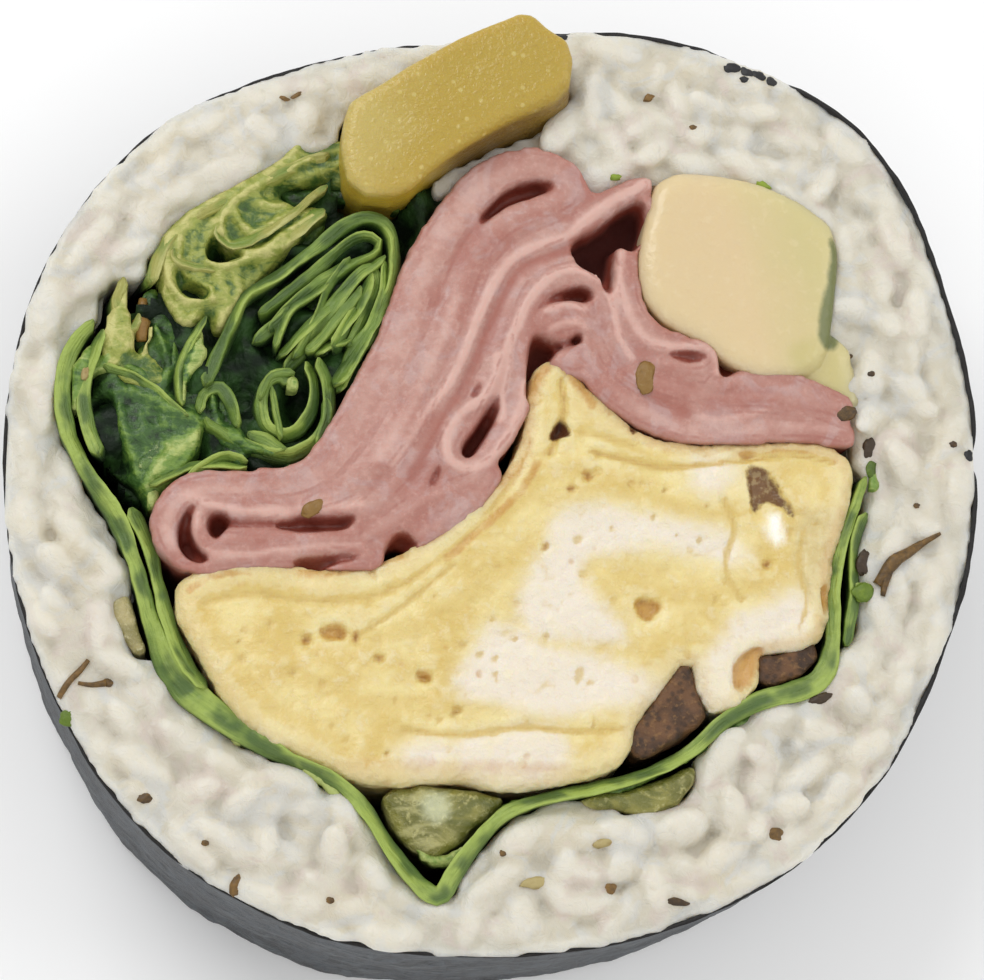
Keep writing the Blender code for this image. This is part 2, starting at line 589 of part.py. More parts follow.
# Cutting leaves crumbs behind: only the largest piece stays
def drop_crumbs(mesh):
    shape = bmesh.new()
    shape.from_mesh(mesh)
    left, pieces = set(shape.verts), []
    while left:
        front = [left.pop()]
        piece = []
        while front:
            vertex = front.pop()
            piece.append(vertex)
            near = {edge.other_vert(vertex) for edge in vertex.link_edges} & left
            left -= near
            front += near
        pieces.append(piece)
    pieces.sort(key=len)
    for piece in pieces[:-1]:
        bmesh.ops.delete(shape, geom=piece, context="VERTS")
    shape.to_mesh(mesh)
    shape.free()


def add_rice(group, cutters, grains):
    material = make_material("rice", 0.6)
    mesh = raised_outline([rim_outline(NORI_THICKNESS + GAP, RICE_POINTS)], 0.0, RICE_TOP)
    move_points(mesh, twist)
    rice = link_mesh("rice", mesh, material, group)
    add_rice_cutters(material, cutters)
    join_collection(rice, "DIFFERENCE", cutters)
    drop_crumbs(rice.data)
    print("grains:", add_grains(material, grains))
    join_collection(rice, "UNION", grains)
    for item in list(grains.objects):
        bpy.data.objects.remove(item)
    rice.data.shade_smooth()
    rice.data.set_sharp_from_angle(angle=math.radians(40))


# The origin is put under the middle of the whole slice
def centre_slice(group):
    graph = bpy.context.evaluated_depsgraph_get()
    corners = []
    for item in group.objects:
        shape = item.evaluated_get(graph).to_mesh()
        corners += [vertex.co.copy() for vertex in shape.vertices]
        item.evaluated_get(graph).to_mesh_clear()
    middle = [(min(c[k] for c in corners) + max(c[k] for c in corners)) / 2 for k in (0, 1)]
    floor = min(c[2] for c in corners)
    print("moved by", [round(-v / MM, 3) for v in (*middle, floor)])
    for item in group.objects:
        item.data.transform(Matrix.Translation((-middle[0], -middle[1], -floor)))


def main():
    clear_scene()
    slice_group = make_collection(SLICE)
    cutters = make_collection("cutters", hidden=True)
    grains = make_collection("grains", hidden=True)
    add_ham(slice_group)
    add_leaves(slice_group)
    add_solid_fillings(slice_group)
    add_radish(slice_group, cutters)
    add_nori(slice_group)
    add_rice(slice_group, cutters, grains)
    bpy.data.collections.remove(grains)
    bpy.context.view_layer.update()
    centre_slice(slice_group)


main()
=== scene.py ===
import math
import random

import bmesh
import bpy
import numpy as np
from mathutils import Matrix, Vector, noise
from mathutils.bvhtree import BVHTree
from mathutils.kdtree import KDTree


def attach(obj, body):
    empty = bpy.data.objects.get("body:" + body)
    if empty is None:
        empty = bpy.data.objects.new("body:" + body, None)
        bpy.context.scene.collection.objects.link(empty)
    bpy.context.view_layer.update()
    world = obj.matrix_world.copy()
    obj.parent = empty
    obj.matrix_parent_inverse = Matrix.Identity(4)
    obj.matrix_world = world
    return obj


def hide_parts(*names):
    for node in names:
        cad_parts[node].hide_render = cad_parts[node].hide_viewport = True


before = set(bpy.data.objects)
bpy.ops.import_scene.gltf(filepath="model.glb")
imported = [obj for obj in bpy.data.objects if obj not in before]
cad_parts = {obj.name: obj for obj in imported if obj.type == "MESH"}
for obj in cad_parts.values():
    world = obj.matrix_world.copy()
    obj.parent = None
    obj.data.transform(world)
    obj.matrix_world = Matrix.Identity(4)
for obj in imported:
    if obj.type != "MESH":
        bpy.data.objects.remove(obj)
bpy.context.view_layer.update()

# The slice. Lengths in the tables are millimetres: x to the right and y away on the upper cut face.
sliceSettings = {
    "thickness": 20.0,
    "centre": (0.0, 0.75),
    "twist": math.radians(-3.5),  # from the upper cut face down to the lower one
    "shift": (-0.363, -1.036),  # from the tables to the frame
    "rimRadii": (31.1, 32.1, 33.8, 31.9, 29.3, 29.5, 31.0, 30.95, 30.25, 30.2, 30.7, 30.35, 29.7, 30.0,
        30.7, 30.5),
}
thickness = sliceSettings["thickness"]


def toFrame(points):  # from table millimetres to metres in the frame
    p = np.array(points, float)
    turn = sliceSettings["twist"] * (p[:, 2] / thickness - 1)
    x, y = p[:, 0] - sliceSettings["centre"][0], p[:, 1] - sliceSettings["centre"][1]
    dx, dy = sliceSettings["shift"]
    return np.column_stack([p[:, 0] - turn * y + dx, p[:, 1] + turn * x + dy, p[:, 2]]) / 1000


def toTable(points):  # and back
    p = np.array(points, float) * 1000
    turn = -sliceSettings["twist"] * (p[:, 2] / thickness - 1)
    dx, dy = sliceSettings["shift"]
    x, y = p[:, 0] - dx, p[:, 1] - dy
    fromX, fromY = x - sliceSettings["centre"][0], y - sliceSettings["centre"][1]
    return np.column_stack([x - turn * fromY, y + turn * fromX, p[:, 2]])


# The photograph's camera. The tables' (0, 0) on the upper cut face is at this pixel.
viewSettings = {
    "lens": 120.0, "sensor": 36.0, "distance": 204.0, "elevation": 76.0, "azimuth": -25.0,
    "centre": (492, 490), "width": 984,
}


def viewAxes():  # right, up and back of the camera
    azimuth, elevation = math.radians(viewSettings["azimuth"]), math.radians(viewSettings["elevation"])
    back = Vector((math.sin(azimuth) * math.cos(elevation), -math.cos(azimuth) * math.cos(elevation),
                   math.sin(elevation)))
    right = Vector((0, 1, 0)).cross(back).normalized()
    return right, back.cross(right), back


def fromPicture(column, row, drop=0.0):  # table x and y of a pixel, at a depth below the cut face
    look = viewSettings
    right, up, back = viewAxes()
    focal = look["lens"] / look["sensor"] * look["width"]
    start = back * look["distance"]
    ray = ((column - look["centre"][0]) / focal * right + (look["centre"][1] - row) / focal * up - back)
    at = start + ray * ((-drop - start.z) / ray.z)
    return at.x, at.y


def bend(a, b, c, d, t):  # a smooth curve from b to c, with a before it and d after it
    return 0.5 * (2 * b + (c - a) * t + (2 * a - 5 * b + 4 * c - d) * t * t
                  + (3 * b - a - 3 * c + d) * t ** 3)


def alongLine(line):  # how far each point is along the line
    return np.concatenate([[0], np.cumsum(np.hypot(*np.diff(line[:, :2], axis=0).T))])


def directions(line):
    way = np.gradient(line[:, :2], axis=0)
    return way / np.hypot(*way.T)[:, None]


def smoothPath(points, step, closed=False):  # a curve through the points, read at even steps
    p = np.array(points, float)
    if closed:
        quads = [[p[(i + k) % len(p)] for k in (-1, 0, 1, 2)] for i in range(len(p))]
    else:
        last = len(p) - 1
        quads = [[p[min(max(i + k, 0), last)] for k in (-1, 0, 1, 2)] for i in range(last)]
    fine = [bend(*quad, t) for quad in quads for t in np.arange(0, 1, 0.05)]
    fine = np.array([*fine, p[0] if closed else p[-1]])
    along = alongLine(fine)
    count = max(2, round(along[-1] / step))
    where = np.linspace(0, along[-1], count + 1)
    line = np.column_stack([np.interp(where, along, column) for column in fine.T])
    return line[:-1] if closed else line


def outlineOf(pixels, step, drop=0.0):  # a closed outline in table millimetres
    return smoothPath([fromPicture(*pixel, drop) for pixel in pixels], step, closed=True)


def lineOf(pixels, step, drop=0.0):  # an open line, with 0 for its width
    return smoothPath([(*fromPicture(*pixel, drop), 0.0) for pixel in pixels], step)


def withWidth(pixels):  # table points of pixels that carry a width
    return [(*fromPicture(column, row), width) for column, row, width in pixels]


def rimRadius(bearing):
    radii = np.array(sliceSettings["rimRadii"])
    place = (np.asarray(bearing) % math.tau) / math.tau * len(radii)
    i = np.floor(place).astype(int)
    return bend(*(radii[(i + k) % len(radii)] for k in (-1, 0, 1, 2)), place - i)


def rimDistance(points):  # how far each table point is inside the outer edge
    flat = points[:, :2] - sliceSettings["centre"]
    return rimRadius(np.arctan2(flat[:, 1], flat[:, 0])) - np.hypot(*flat.T)


def keepInside(points, inset):  # table points, drawn in to lie at least that far inside the outer edge
    flat = points[:, :2] - sliceSettings["centre"]
    radius = np.hypot(*flat.T)
    share = np.minimum(1, (radius + rimDistance(points) - inset) / radius)
    points[:, :2] = flat * share[:, None] + sliceSettings["centre"]
    return points


def depthInside(points, outline):  # how far each point is inside a closed outline, below 0 outside
    p = np.asarray(points, float)[:, :2]
    a = np.asarray(outline, float)[:, :2]
    b = np.roll(a, -1, axis=0)
    crossings = np.zeros(len(p), int)
    nearest = np.full(len(p), 1e9)
    for start, end in zip(a, b):
        way = end - start
        t = np.clip(((p - start) @ way) / max(way @ way, 1e-12), 0, 1)
        nearest = np.minimum(nearest, np.hypot(*(p - start - t[:, None] * way).T))
        if start[1] != end[1]:
            crosses = (start[1] > p[:, 1]) != (end[1] > p[:, 1])
            crossings += crosses & (p[:, 0] < way[0] * (p[:, 1] - start[1]) / way[1] + start[0])
    return np.where(crossings % 2 == 1, nearest, -nearest)


def rough(points, size, seed=0.0):  # smooth noise at each point, from -1 to 1, in lumps of that size
    offset = Vector((seed, 2.3 * seed, -1.7 * seed))
    return np.array([noise.noise(Vector(p) / size + offset) for p in points])


def addObject(name, data):
    thing = bpy.data.objects.new(name, data)
    bpy.context.scene.collection.objects.link(thing)
    return thing


def addValues(piece, **columns):  # named values at the piece's points, for its material
    for key, values in columns.items():
        layer = piece.data.attributes.new(key, "FLOAT", "POINT")
        layer.data.foreach_set("value", np.asarray(values, np.float32))


def addPiece(name, mesh):
    mesh.validate()
    mesh.shade_smooth()
    piece = addObject(name, mesh)
    return piece


def makePiece(name, points, faces, slot, **columns):  # points in the frame, in metres
    mesh = bpy.data.meshes.new(name)
    mesh.from_pydata([tuple(p) for p in points], [], faces)
    piece = addPiece(name, mesh)
    addValues(piece, **columns)
    return piece


def joinPieces(name, slot, *pieces):  # several pieces as one, with the values that all of them have
    keys = sorted(set.intersection(*({layer.name for layer in piece.data.attributes
                                      if layer.data_type == "FLOAT"} for piece in pieces)))
    points, faces, start = [], [], 0
    values = {key: [] for key in keys}
    for piece in pieces:
        points.append(readPoints(piece.data))
        faces += [tuple(start + k for k in face.vertices) for face in piece.data.polygons]
        start += len(points[-1])
        for key in keys:
            column = np.zeros(len(points[-1]), np.float32)
            piece.data.attributes[key].data.foreach_get("value", column)
            values[key].append(column)
        bpy.data.objects.remove(piece)
    return makePiece(name, np.concatenate(points), faces, slot,
                     **{key: np.concatenate(columns) for key, columns in values.items()})


def finishPiece(piece, material, *nodes):
    piece.data.materials.clear()
    piece.data.materials.append(material)
    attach(piece, "root")
    if nodes:
        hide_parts(*nodes)
    faces = sum(len(face.vertices) - 2 for face in piece.data.polygons)
    print(f"{piece.name}: {faces} triangles")


def readPoints(mesh, key="co"):
    points = np.zeros(len(mesh.vertices) * 3, np.float32)
    mesh.vertices.foreach_get(key, points)
    return points.reshape(-1, 3).astype(float)


def readSurface(mesh):  # its points and normals
    return readPoints(mesh), readPoints(mesh, "normal")


def writePoints(mesh, points):
    points[:, 2] = np.maximum(points[:, 2], 0)
    mesh.vertices.foreach_set("co", np.asarray(points, np.float32).ravel())
    mesh.update()


def pushed(points, normals, amount):  # the points moved along the normals, by millimetres
    return points + normals * (np.reshape(amount, (-1, 1)) / 1000)


class Wire:  # a shader socket that can be used in sums
    def __init__(self, paint, socket):
        self.paint, self.socket = paint, socket

    def sum(self, operation, *values):
        return self.paint.node("ShaderNodeMath", {"operation": operation},
                               **{str(i): value for i, value in enumerate((self, *values))})[0]

    def __add__(self, other):
        return self.sum("ADD", other)

    def __sub__(self, other):
        return self.sum("SUBTRACT", other)

    def __rsub__(self, other):
        return self * -1.0 + other

    def __mul__(self, other):
        return self.sum("MULTIPLY", other)

    __radd__, __rmul__ = __add__, __mul__

    def ramp(self, low, high):  # 0 below low and 1 above high, with a soft step between
        return self.paint.node("ShaderNodeMapRange", {"interpolation_type": "SMOOTHSTEP"},
                               Value=self, **{"From Min": low, "From Max": high})[0]


class Paint:  # one material and its nodes; look holds its colours by name
    def __init__(self, name, look=None):
        self.look = look
        self.material = bpy.data.materials.new(name)
        self.material.use_nodes = True
        self.tree = self.material.node_tree
        self.tree.nodes.clear()

    def node(self, kind, settings=None, **sockets):
        node = self.tree.nodes.new(kind)
        for key, value in (settings or {}).items():
            setattr(node, key, value)
        for key, value in sockets.items():
            socket = node.inputs[int(key)] if key.isdigit() else node.inputs[key]
            if isinstance(value, Wire):
                self.tree.links.new(value.socket, socket)
            else:
                socket.default_value = value
        return [Wire(self, output) for output in node.outputs]

    def place(self):  # millimetres from the piece's origin
        at = self.node("ShaderNodeTexCoord")[3]
        return self.node("ShaderNodeVectorMath", {"operation": "SCALE"}, **{"0": at, "Scale": 1000.0})[0]

    def stretched(self, vector, scale):
        return self.node("ShaderNodeVectorMath", {"operation": "MULTIPLY"}, **{"0": vector, "1": scale})[0]

    def axes(self, vector):
        return self.node("ShaderNodeSeparateXYZ", Vector=vector)

    def attributes(self, *names):
        return [self.node("ShaderNodeAttribute", {"attribute_name": name})[2] for name in names]

    def lumps(self, vector, size, detail=2.0, roughness=0.5, distortion=0.0):  # noise, about 0.5
        return self.node("ShaderNodeTexNoise", Vector=vector, Scale=1.0 / size, Detail=detail,
                         Roughness=roughness, Distortion=distortion)[0]

    def cells(self, vector, size):  # distance to the nearest of scattered points, in sizes
        return self.node("ShaderNodeTexVoronoi", Vector=vector, Scale=1.0 / size)[0]

    def colour(self, value):  # from a name in the look, (r, g, b) from 0 to 255, or a wire
        value = self.look[value] if isinstance(value, str) else value
        return tone(*value) if isinstance(value, tuple) else value

    def coats(self, colour, *coats):  # each coat has its share, a number or a wire, and its colour
        for share, coat in coats:
            colour = self.node("ShaderNodeMix", {"data_type": "RGBA"},
                               **{"0": share, "6": self.colour(colour), "7": self.colour(coat)})[2]
        return colour

    def bump(self, height, distance, under=None):
        links = {"Height": height, "Distance": distance / 1000, **({"Normal": under} if under else {})}
        return self.node("ShaderNodeBump", **links)[0]

    def finish(self, colour, roughness, normal=None, flesh=None, **constants):
        links = {"Base Color": self.colour(colour), "Roughness": roughness, **constants}
        if normal:
            links["Normal"] = normal
        if flesh:  # light below the surface: its weight, its radius by colour, and millimetres
            weight, radius, size = flesh
            links.update({"Subsurface Weight": weight, "Subsurface Radius": radius,
                          "Subsurface Scale": size / 1000})
        shader = self.node("ShaderNodeBsdfPrincipled", **links)[0]
        self.node("ShaderNodeOutputMaterial", Surface=shader)
        return self.material


def tone(red, green, blue):  # a screen colour from 0 to 255, as linear light
    linear = [v / 12.92 if v <= 0.04045 else ((v + 0.055) / 1.055) ** 2.4
              for v in (red / 255, green / 255, blue / 255)]
    return (*linear, 1.0)


def plainMesh(helper):  # the helper's mesh as its modifier leaves it; the helper goes
    bpy.context.view_layer.update()
    graph = bpy.context.evaluated_depsgraph_get()
    mesh = bpy.data.meshes.new_from_object(helper.evaluated_get(graph))
    bpy.data.objects.remove(helper)
    return mesh


def remeshed(mesh, look):  # one closed skin round everything in the mesh, at even steps
    helper = addObject("helper", mesh)
    remesh = helper.modifiers.new("Remesh", "REMESH")
    remesh.mode, remesh.voxel_size = "VOXEL", look["voxel"] / 1000
    soften = helper.modifiers.new("Soften", "SMOOTH")
    soften.factor, soften.iterations = 0.5, look["smooth"]
    return plainMesh(helper)


def solidCopy(name, node, look, added=()):  # a fine, rounded copy of a CAD solid
    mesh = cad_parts[node].data.copy()
    shape = bmesh.new()
    shape.from_mesh(mesh)
    bmesh.ops.remove_doubles(shape, verts=shape.verts, dist=0.000002)
    for extra in added:
        shape.from_mesh(extra)
    shape.to_mesh(mesh)
    shape.free()
    fine = remeshed(mesh, look)
    if look["swell"]:
        writePoints(fine, pushed(*readSurface(fine), look["swell"]))
    fine.name = name
    return addPiece(name, fine)


def merged(name, meshes):  # several meshes as one
    shape = bmesh.new()
    for mesh in meshes:
        shape.from_mesh(mesh)
    together = bpy.data.meshes.new(name)
    shape.to_mesh(together)
    shape.free()
    return together


def faceOut(mesh):  # normals outwards, each closed part by itself, and no loose points
    shape = bmesh.new()
    shape.from_mesh(mesh)
    bmesh.ops.delete(shape, geom=[vert for vert in shape.verts if not vert.link_faces], context="VERTS")
    bmesh.ops.recalc_face_normals(shape, faces=shape.faces)
    shape.to_mesh(mesh)
    shape.free()


def loopFaces(loops, around, start=0, ring=False):  # quads between loops of points, with caps unless a ring
    faces = [(i * around + j, i * around + (j + 1) % around,
              (i + 1) % loops * around + (j + 1) % around, (i + 1) % loops * around + j)
             for i in range(loops if ring else loops - 1) for j in range(around)]
    if not ring:
        faces += [tuple(range(around))[::-1], tuple((loops - 1) * around + j for j in range(around))]
    return [tuple(start + k for k in face) for face in faces]


def gridPoints(xs, ys, level=0.0):  # a grid's corners, row by row
    return np.stack([*np.meshgrid(xs, ys), np.broadcast_to(level, (len(ys), len(xs)))], axis=-1).reshape(-1, 3)


def gridOver(outline, size, level=0.0):  # steps and corners of a grid over an outline
    low, high = outline.min(axis=0) - 0.5, outline.max(axis=0) + 0.5
    xs, ys = (np.arange(low[k], high[k], size) for k in (0, 1))
    return xs, ys, gridPoints(xs, ys, level)


def plateMesh(name, xs, ys, inside, top, foot):  # a closed block over part of a grid, in table millimetres
    rows, columns = len(ys), len(xs)
    inside, top, foot = (np.reshape(values, (rows, columns)) for values in (inside, top, foot))
    cell = inside[:-1, :-1] & inside[1:, :-1] & inside[:-1, 1:] & inside[1:, 1:]
    points = np.concatenate([gridPoints(xs, ys, z) for z in (top, foot)])
    count = rows * columns
    index = np.arange(count).reshape(rows, columns)
    corners = np.stack([index[:-1, :-1], index[:-1, 1:], index[1:, 1:], index[1:, :-1]], axis=-1)
    faces = [corners[cell], corners[cell][:, ::-1] + count]
    beside = np.pad(cell, 1)
    for k, (row, column) in enumerate(((-1, 0), (0, 1), (1, 0), (0, -1))):
        empty = ~beside[1 + row:rows + row, 1 + column:columns + column]
        start, end = corners[..., k][cell & empty], corners[..., (k + 1) % 4][cell & empty]
        faces.append(np.column_stack([end, start, start + count, end + count]))
    mesh = bpy.data.meshes.new(name)
    mesh.from_pydata(toFrame(points).tolist(), [], np.concatenate(faces).tolist())
    return mesh


def sampled(values, xs, ys, points):  # a grid's values at the points, between its corners
    values = np.reshape(values, (len(ys), len(xs)))
    column = np.clip((points[:, 0] - xs[0]) / (xs[1] - xs[0]), 0, len(xs) - 1.001)
    row = np.clip((points[:, 1] - ys[0]) / (ys[1] - ys[0]), 0, len(ys) - 1.001)
    i, j = row.astype(int), column.astype(int)
    u, v = column - j, row - i
    return ((values[i, j] * (1 - u) + values[i, j + 1] * u) * (1 - v)
            + (values[i + 1, j] * (1 - u) + values[i + 1, j + 1] * u) * v)


def finderOf(points):  # finds the nearest of the points
    finder = KDTree(len(points))
    for i, point in enumerate(points):
        finder.insert(point, i)
    finder.balance()
    return finder


def sheetDistance(points, line):  # distance to a sheet's middle line, and its half width there
    distance, half = np.full(len(points), 1e9), np.ones(len(points))
    for start, end in zip(line[:-1], line[1:]):
        way = end[:2] - start[:2]
        t = np.clip(((points[:, :2] - start[:2]) @ way) / (way @ way), 0, 1)
        away = np.hypot(*(points[:, :2] - start[:2] - t[:, None] * way).T)
        width = (start[2] + (end[2] - start[2]) * t) / 2
        closer = away - width < distance - half
        distance, half = np.where(closer, away, distance), np.where(closer, width, half)
    return distance, half


def nearLine(points, line, half, power=2):  # 1 on the line, and little beyond its half width
    return np.exp(-(sheetDistance(points, line)[0] / half) ** power)


def step(values, low, high):  # 0 below low and 1 above high, smooth between
    t = np.clip((values - low) / (high - low), 0, 1)
    return t * t * (3 - 2 * t)


def hollows(mesh, rounds):  # millimetres below the surface smoothed over, above 0 in hollows
    points, normals = readSurface(mesh)
    edges = np.zeros(len(mesh.edges) * 2, int)
    mesh.edges.foreach_get("vertices", edges)
    start, end = edges[::2], edges[1::2]
    count = np.maximum(np.bincount(edges, minlength=len(points)), 1)
    smooth = points.copy()
    for _ in range(rounds):
        total = [np.bincount(start, smooth[end, k], len(points))
                 + np.bincount(end, smooth[start, k], len(points)) for k in range(3)]
        smooth = np.stack(total, axis=1) / count[:, None]
    return ((smooth - points) * normals).sum(axis=1) * 1000


# Leaves are sheets that stand on edge. Each follows a line on the cut face.
# top is its height, rise how uneven that is, lean how far it leans over 10 mm, round its edge's height
sheetBasics = {"round": 0.12, "levels": 14, "foot": 0.12, "vary": 0.35}
sheetSettings = {
    "leaf": {**sheetBasics, "step": 0.4, "thick": 0.45, "top": 20.1, "rise": 0.5, "riseSize": 4.0, "widen": 0.1,
             "lean": 0.5, "sway": 0.35, "tilt": 1.0, "spread": 1.15, "fine": 0.07},
    "lettuce": {**sheetBasics, "step": 0.35, "thick": 0.5, "top": 19.9, "rise": 0.6, "riseSize": 3.0,
                "widen": 0.05, "lean": 0.9, "sway": 0.5, "tilt": 0.6, "spread": 1.1, "fine": 0.12},
}

hamLines = {
    "ham_1": ((-7.6, -4.4, 0.95), (-10, -4.4, 0.95), (-13, -4.4, 0.95), (-15.6, -4.5, 1.0),
        (-17.6, -4.75, 1.05), (-19.2, -4.35, 1.15), (-20, -3.2, 1.2), (-20, -1.9, 1.2), (-19.2, -0.75, 1.2),
        (-17.6, -0.15, 1.2), (-15.4, -0.1, 1.25), (-13.4, -0.05, 1.35), (-11.7, 0.35, 1.5),
        (-10.2, 1.5, 1.8), (-9, 3.2, 2.0), (-7.9, 5.2, 2.0), (-5.8, 9.6, 2.0), (-4.4, 13.8, 2.0),
        (-3.4, 15.8, 2.0), (-2.2, 17.7, 2.0), (-0.8, 19.5, 1.9), (0.9, 20.8, 1.75), (2.8, 21.1, 1.7),
        (4.4, 20.6, 1.6), (5, 19.7, 1.5), (4.1, 18.9, 1.5), (2.6, 18.35, 1.6), (1, 17.6, 1.8),
        (-0.45, 16.35, 1.85), (-1.6, 14.4, 1.9), (-3.2, 9.9, 1.95), (-5.25, 5.35, 1.95), (-6.5, 3, 1.9),
        (-8, 1, 1.7), (-9.6, -0.4, 1.3), (-11.4, -1.2, 0.8)),
    "ham_2": ((9.6, 20.1, 0.6), (8.2, 19.2, 1.1), (6.4, 18.1, 1.2), (4.5, 17, 1.2), (2.6, 16.1, 1.2),
        (1.1, 15, 1.15), (0.1, 13.4, 1.1), (-1.4, 9.2, 1.1), (-3.3, 4.8, 1.1), (-4.5, 2.6, 1.1),
        (-5.9, 0.6, 1.1), (-7.6, -1.2, 1.1), (-9.4, -2.6, 0.95), (-11.6, -3.2, 0.85), (-14, -3.3, 0.85),
        (-16.2, -3.5, 0.8), (-17.8, -3.1, 0.8), (-18.4, -2.2, 0.85), (-17.8, -1.5, 0.7),
        (-16.3, -1.75, 0.9), (-14.6, -1.75, 1.1), (-13.2, -1.6, 0.8)),
    "ham_3": ((5.3, 15.2, 0.5), (3.9, 14.95, 0.8), (2.6, 14.45, 0.9), (1.5, 13.2, 0.95), (0.8, 11.4, 0.95),
        (0.25, 9.3, 0.95), (-0.5, 7.2, 1.05), (-1.45, 5.2, 1.1), (-2.6, 3.5, 1.05), (-3, 2.3, 1.0),
        (-2.2, 1.6, 1.0), (-1, 2.1, 1.1), (0.2, 3.4, 1.3), (1.15, 5.2, 1.4), (1.6, 7.2, 1.2),
        (1.75, 9.3, 1.1), (2.1, 11.2, 1.1), (3, 12.9, 1.1), (4.5, 13.85, 1.15), (6, 13.65, 1.15),
        (6.9, 12.4, 1.15), (7.3, 10.8, 1.2), (8, 9.1, 1.3), (9.2, 7.8, 1.35), (11, 6.95, 1.35),
        (13.5, 6.5, 1.35), (16.5, 6.4, 1.3), (19.3, 6.25, 1.1), (21.2, 5.8, 0.7)),
    "ham_4": ((3.2, 10.7, 0.5), (3.9, 11.4, 0.9), (4.9, 11.7, 1.1), (5.7, 11.1, 1.1), (5.9, 9.8, 1.1),
        (6.3, 8.4, 1.2), (7.1, 7.1, 1.3), (8.5, 5.95, 1.35), (10.4, 5, 1.5), (13, 4.45, 1.6),
        (17, 4.6, 1.5), (20.3, 4.5, 1.2), (22.3, 4, 0.8)),
    "ham_5": ((8.7, 15.3, 0.5), (8.55, 13.6, 1.1), (8.9, 11.6, 1.2), (10.1, 10.2, 1.2), (11.9, 9.5, 0.9),
        (13.3, 9.15, 0.7), (13.7, 8.65, 0.55), (12.6, 8.3, 0.55), (10.9, 8.45, 0.6)),
    "ham_6": ((-7.9, -3.2, 0.8), (-6.3, -2.2, 1.2), (-4.8, -1.1, 1.3), (-3.4, -0.35, 1.2),
        (-1.9, 0.25, 1.0), (-0.7, 0.95, 0.6), (0, 1.3, 0.45), (-0.1, 0.75, 0.5), (-1, -0.2, 0.9),
        (-2.3, -1.4, 1.1), (-3.7, -2.45, 1.0), (-4.9, -3.1, 0.8)),
}


def sectionLoop(levels):  # once round a sheet: place across it, height from foot to top, and edge drop
    arc = np.radians(np.linspace(-90, 90, 7))
    down = 0.5 + 0.5 * np.cos(np.pi * np.arange(1, levels) / levels)
    across = np.concatenate([np.sin(arc), np.ones(levels - 1), np.sin(-arc), -np.ones(levels - 1)])
    height = np.concatenate([np.ones(7), down, np.zeros(7), down[::-1]])
    drop = np.concatenate([1 - np.cos(arc), np.ones(levels - 1), 1 - np.cos(arc), np.ones(levels - 1)])
    return across, height, drop


def sheetShape(line, look, seed):
    along, way = alongLine(line), directions(line)
    half = (line[:, 2] + look["widen"]) / 2
    toEnd = np.minimum(along, along[-1] - along)
    half = half * np.sqrt(1 - np.clip(1 - toEnd / half, 0, 0.95) ** 2)
    onLine = np.column_stack([along, np.full(len(along), 7.0 * seed), np.zeros(len(along))])
    half *= look["spread"] * (1 + look["vary"] * rough(onLine, 2.4, seed + 60))
    side = np.clip(3.0 * rough(onLine, 8.0, seed + 40) + look.get("side", 0), -1, 1)[:, None]
    top = look["top"] + look["rise"] * rough(onLine, look["riseSize"], seed)
    lean = look["lean"] * rough(onLine, 9.0, seed + 20)
    across, height, drop = sectionLoop(look["levels"])
    low, high = look["foot"] + look["round"], top[:, None] - look["round"]
    z = low + (high - low) * height + look["round"] * (1 - drop) * np.where(height > 0.5, 1, -1)
    fall = look["tilt"] * 0.5 * (1 - across * side) * np.minimum(half / 0.4, 1)[:, None]
    z = z - fall * height ** 4 + fall * (1 - height) ** 4
    below = top[:, None] - z
    swayAt = np.stack([np.broadcast_to(along[:, None], z.shape), z,
                       np.full(z.shape, 3.0 * seed)], axis=-1).reshape(-1, 3)
    sway = look["sway"] * rough(swayAt, 5.0, seed).reshape(z.shape) * np.clip(below / 2, 0, 1)
    shift = half[:, None] * across - lean[:, None] * np.minimum(below, 6) + sway
    x = line[:, 0:1] - way[:, 1:2] * shift
    y = line[:, 1:2] + way[:, 0:1] * shift
    points = np.stack([x, y, z], axis=-1).reshape(-1, 3)
    values = {
        "rim": (1 - drop) * np.ones_like(z),
        "across": across * np.ones_like(z),
        "lit": across * side,
        "depth": np.minimum(below, z - look["foot"]),
        "along": along[:, None] * np.ones_like(z),
    }
    faces = loopFaces(len(line), len(across))
    return points, faces, {key: value.ravel() for key, value in values.items()}


def makeSheets(name, lines, look, slot, tints=None):  # all sheets of one kind, as one piece
    points, faces, values = [], [], {}
    start = 0
    for seed, (node, line) in enumerate(lines.items()):
        own = {**look, **(tints or {}).get(node, {})}
        widths = own.get("widths", (own["thick"],) * len(line))
        line = np.array([(*point, width)[:3] for point, width in zip(line, widths)])
        sheetPoints, sheetFaces, sheetValues = sheetShape(smoothPath(line, own["step"]), own, seed + 1)
        sheetValues["tint"] = np.full(len(sheetPoints), own.get("tint", 0.5))
        points.append(sheetPoints)
        faces += [tuple(index + start for index in face) for face in sheetFaces]
        start += len(sheetPoints)
        for key, value in sheetValues.items():
            values.setdefault(key, []).append(value)
    points = np.concatenate(points)
    fine = look["fine"]
    points = points + np.stack([fine * rough(points, 0.9, k) for k in (1, 2, 3)], axis=1) * (1, 1, 0.6)
    values = {key: np.concatenate(value) for key, value in values.items()}
    piece = makePiece(name, toFrame(points), faces, slot, **values)
    faceOut(piece.data)
    return piece


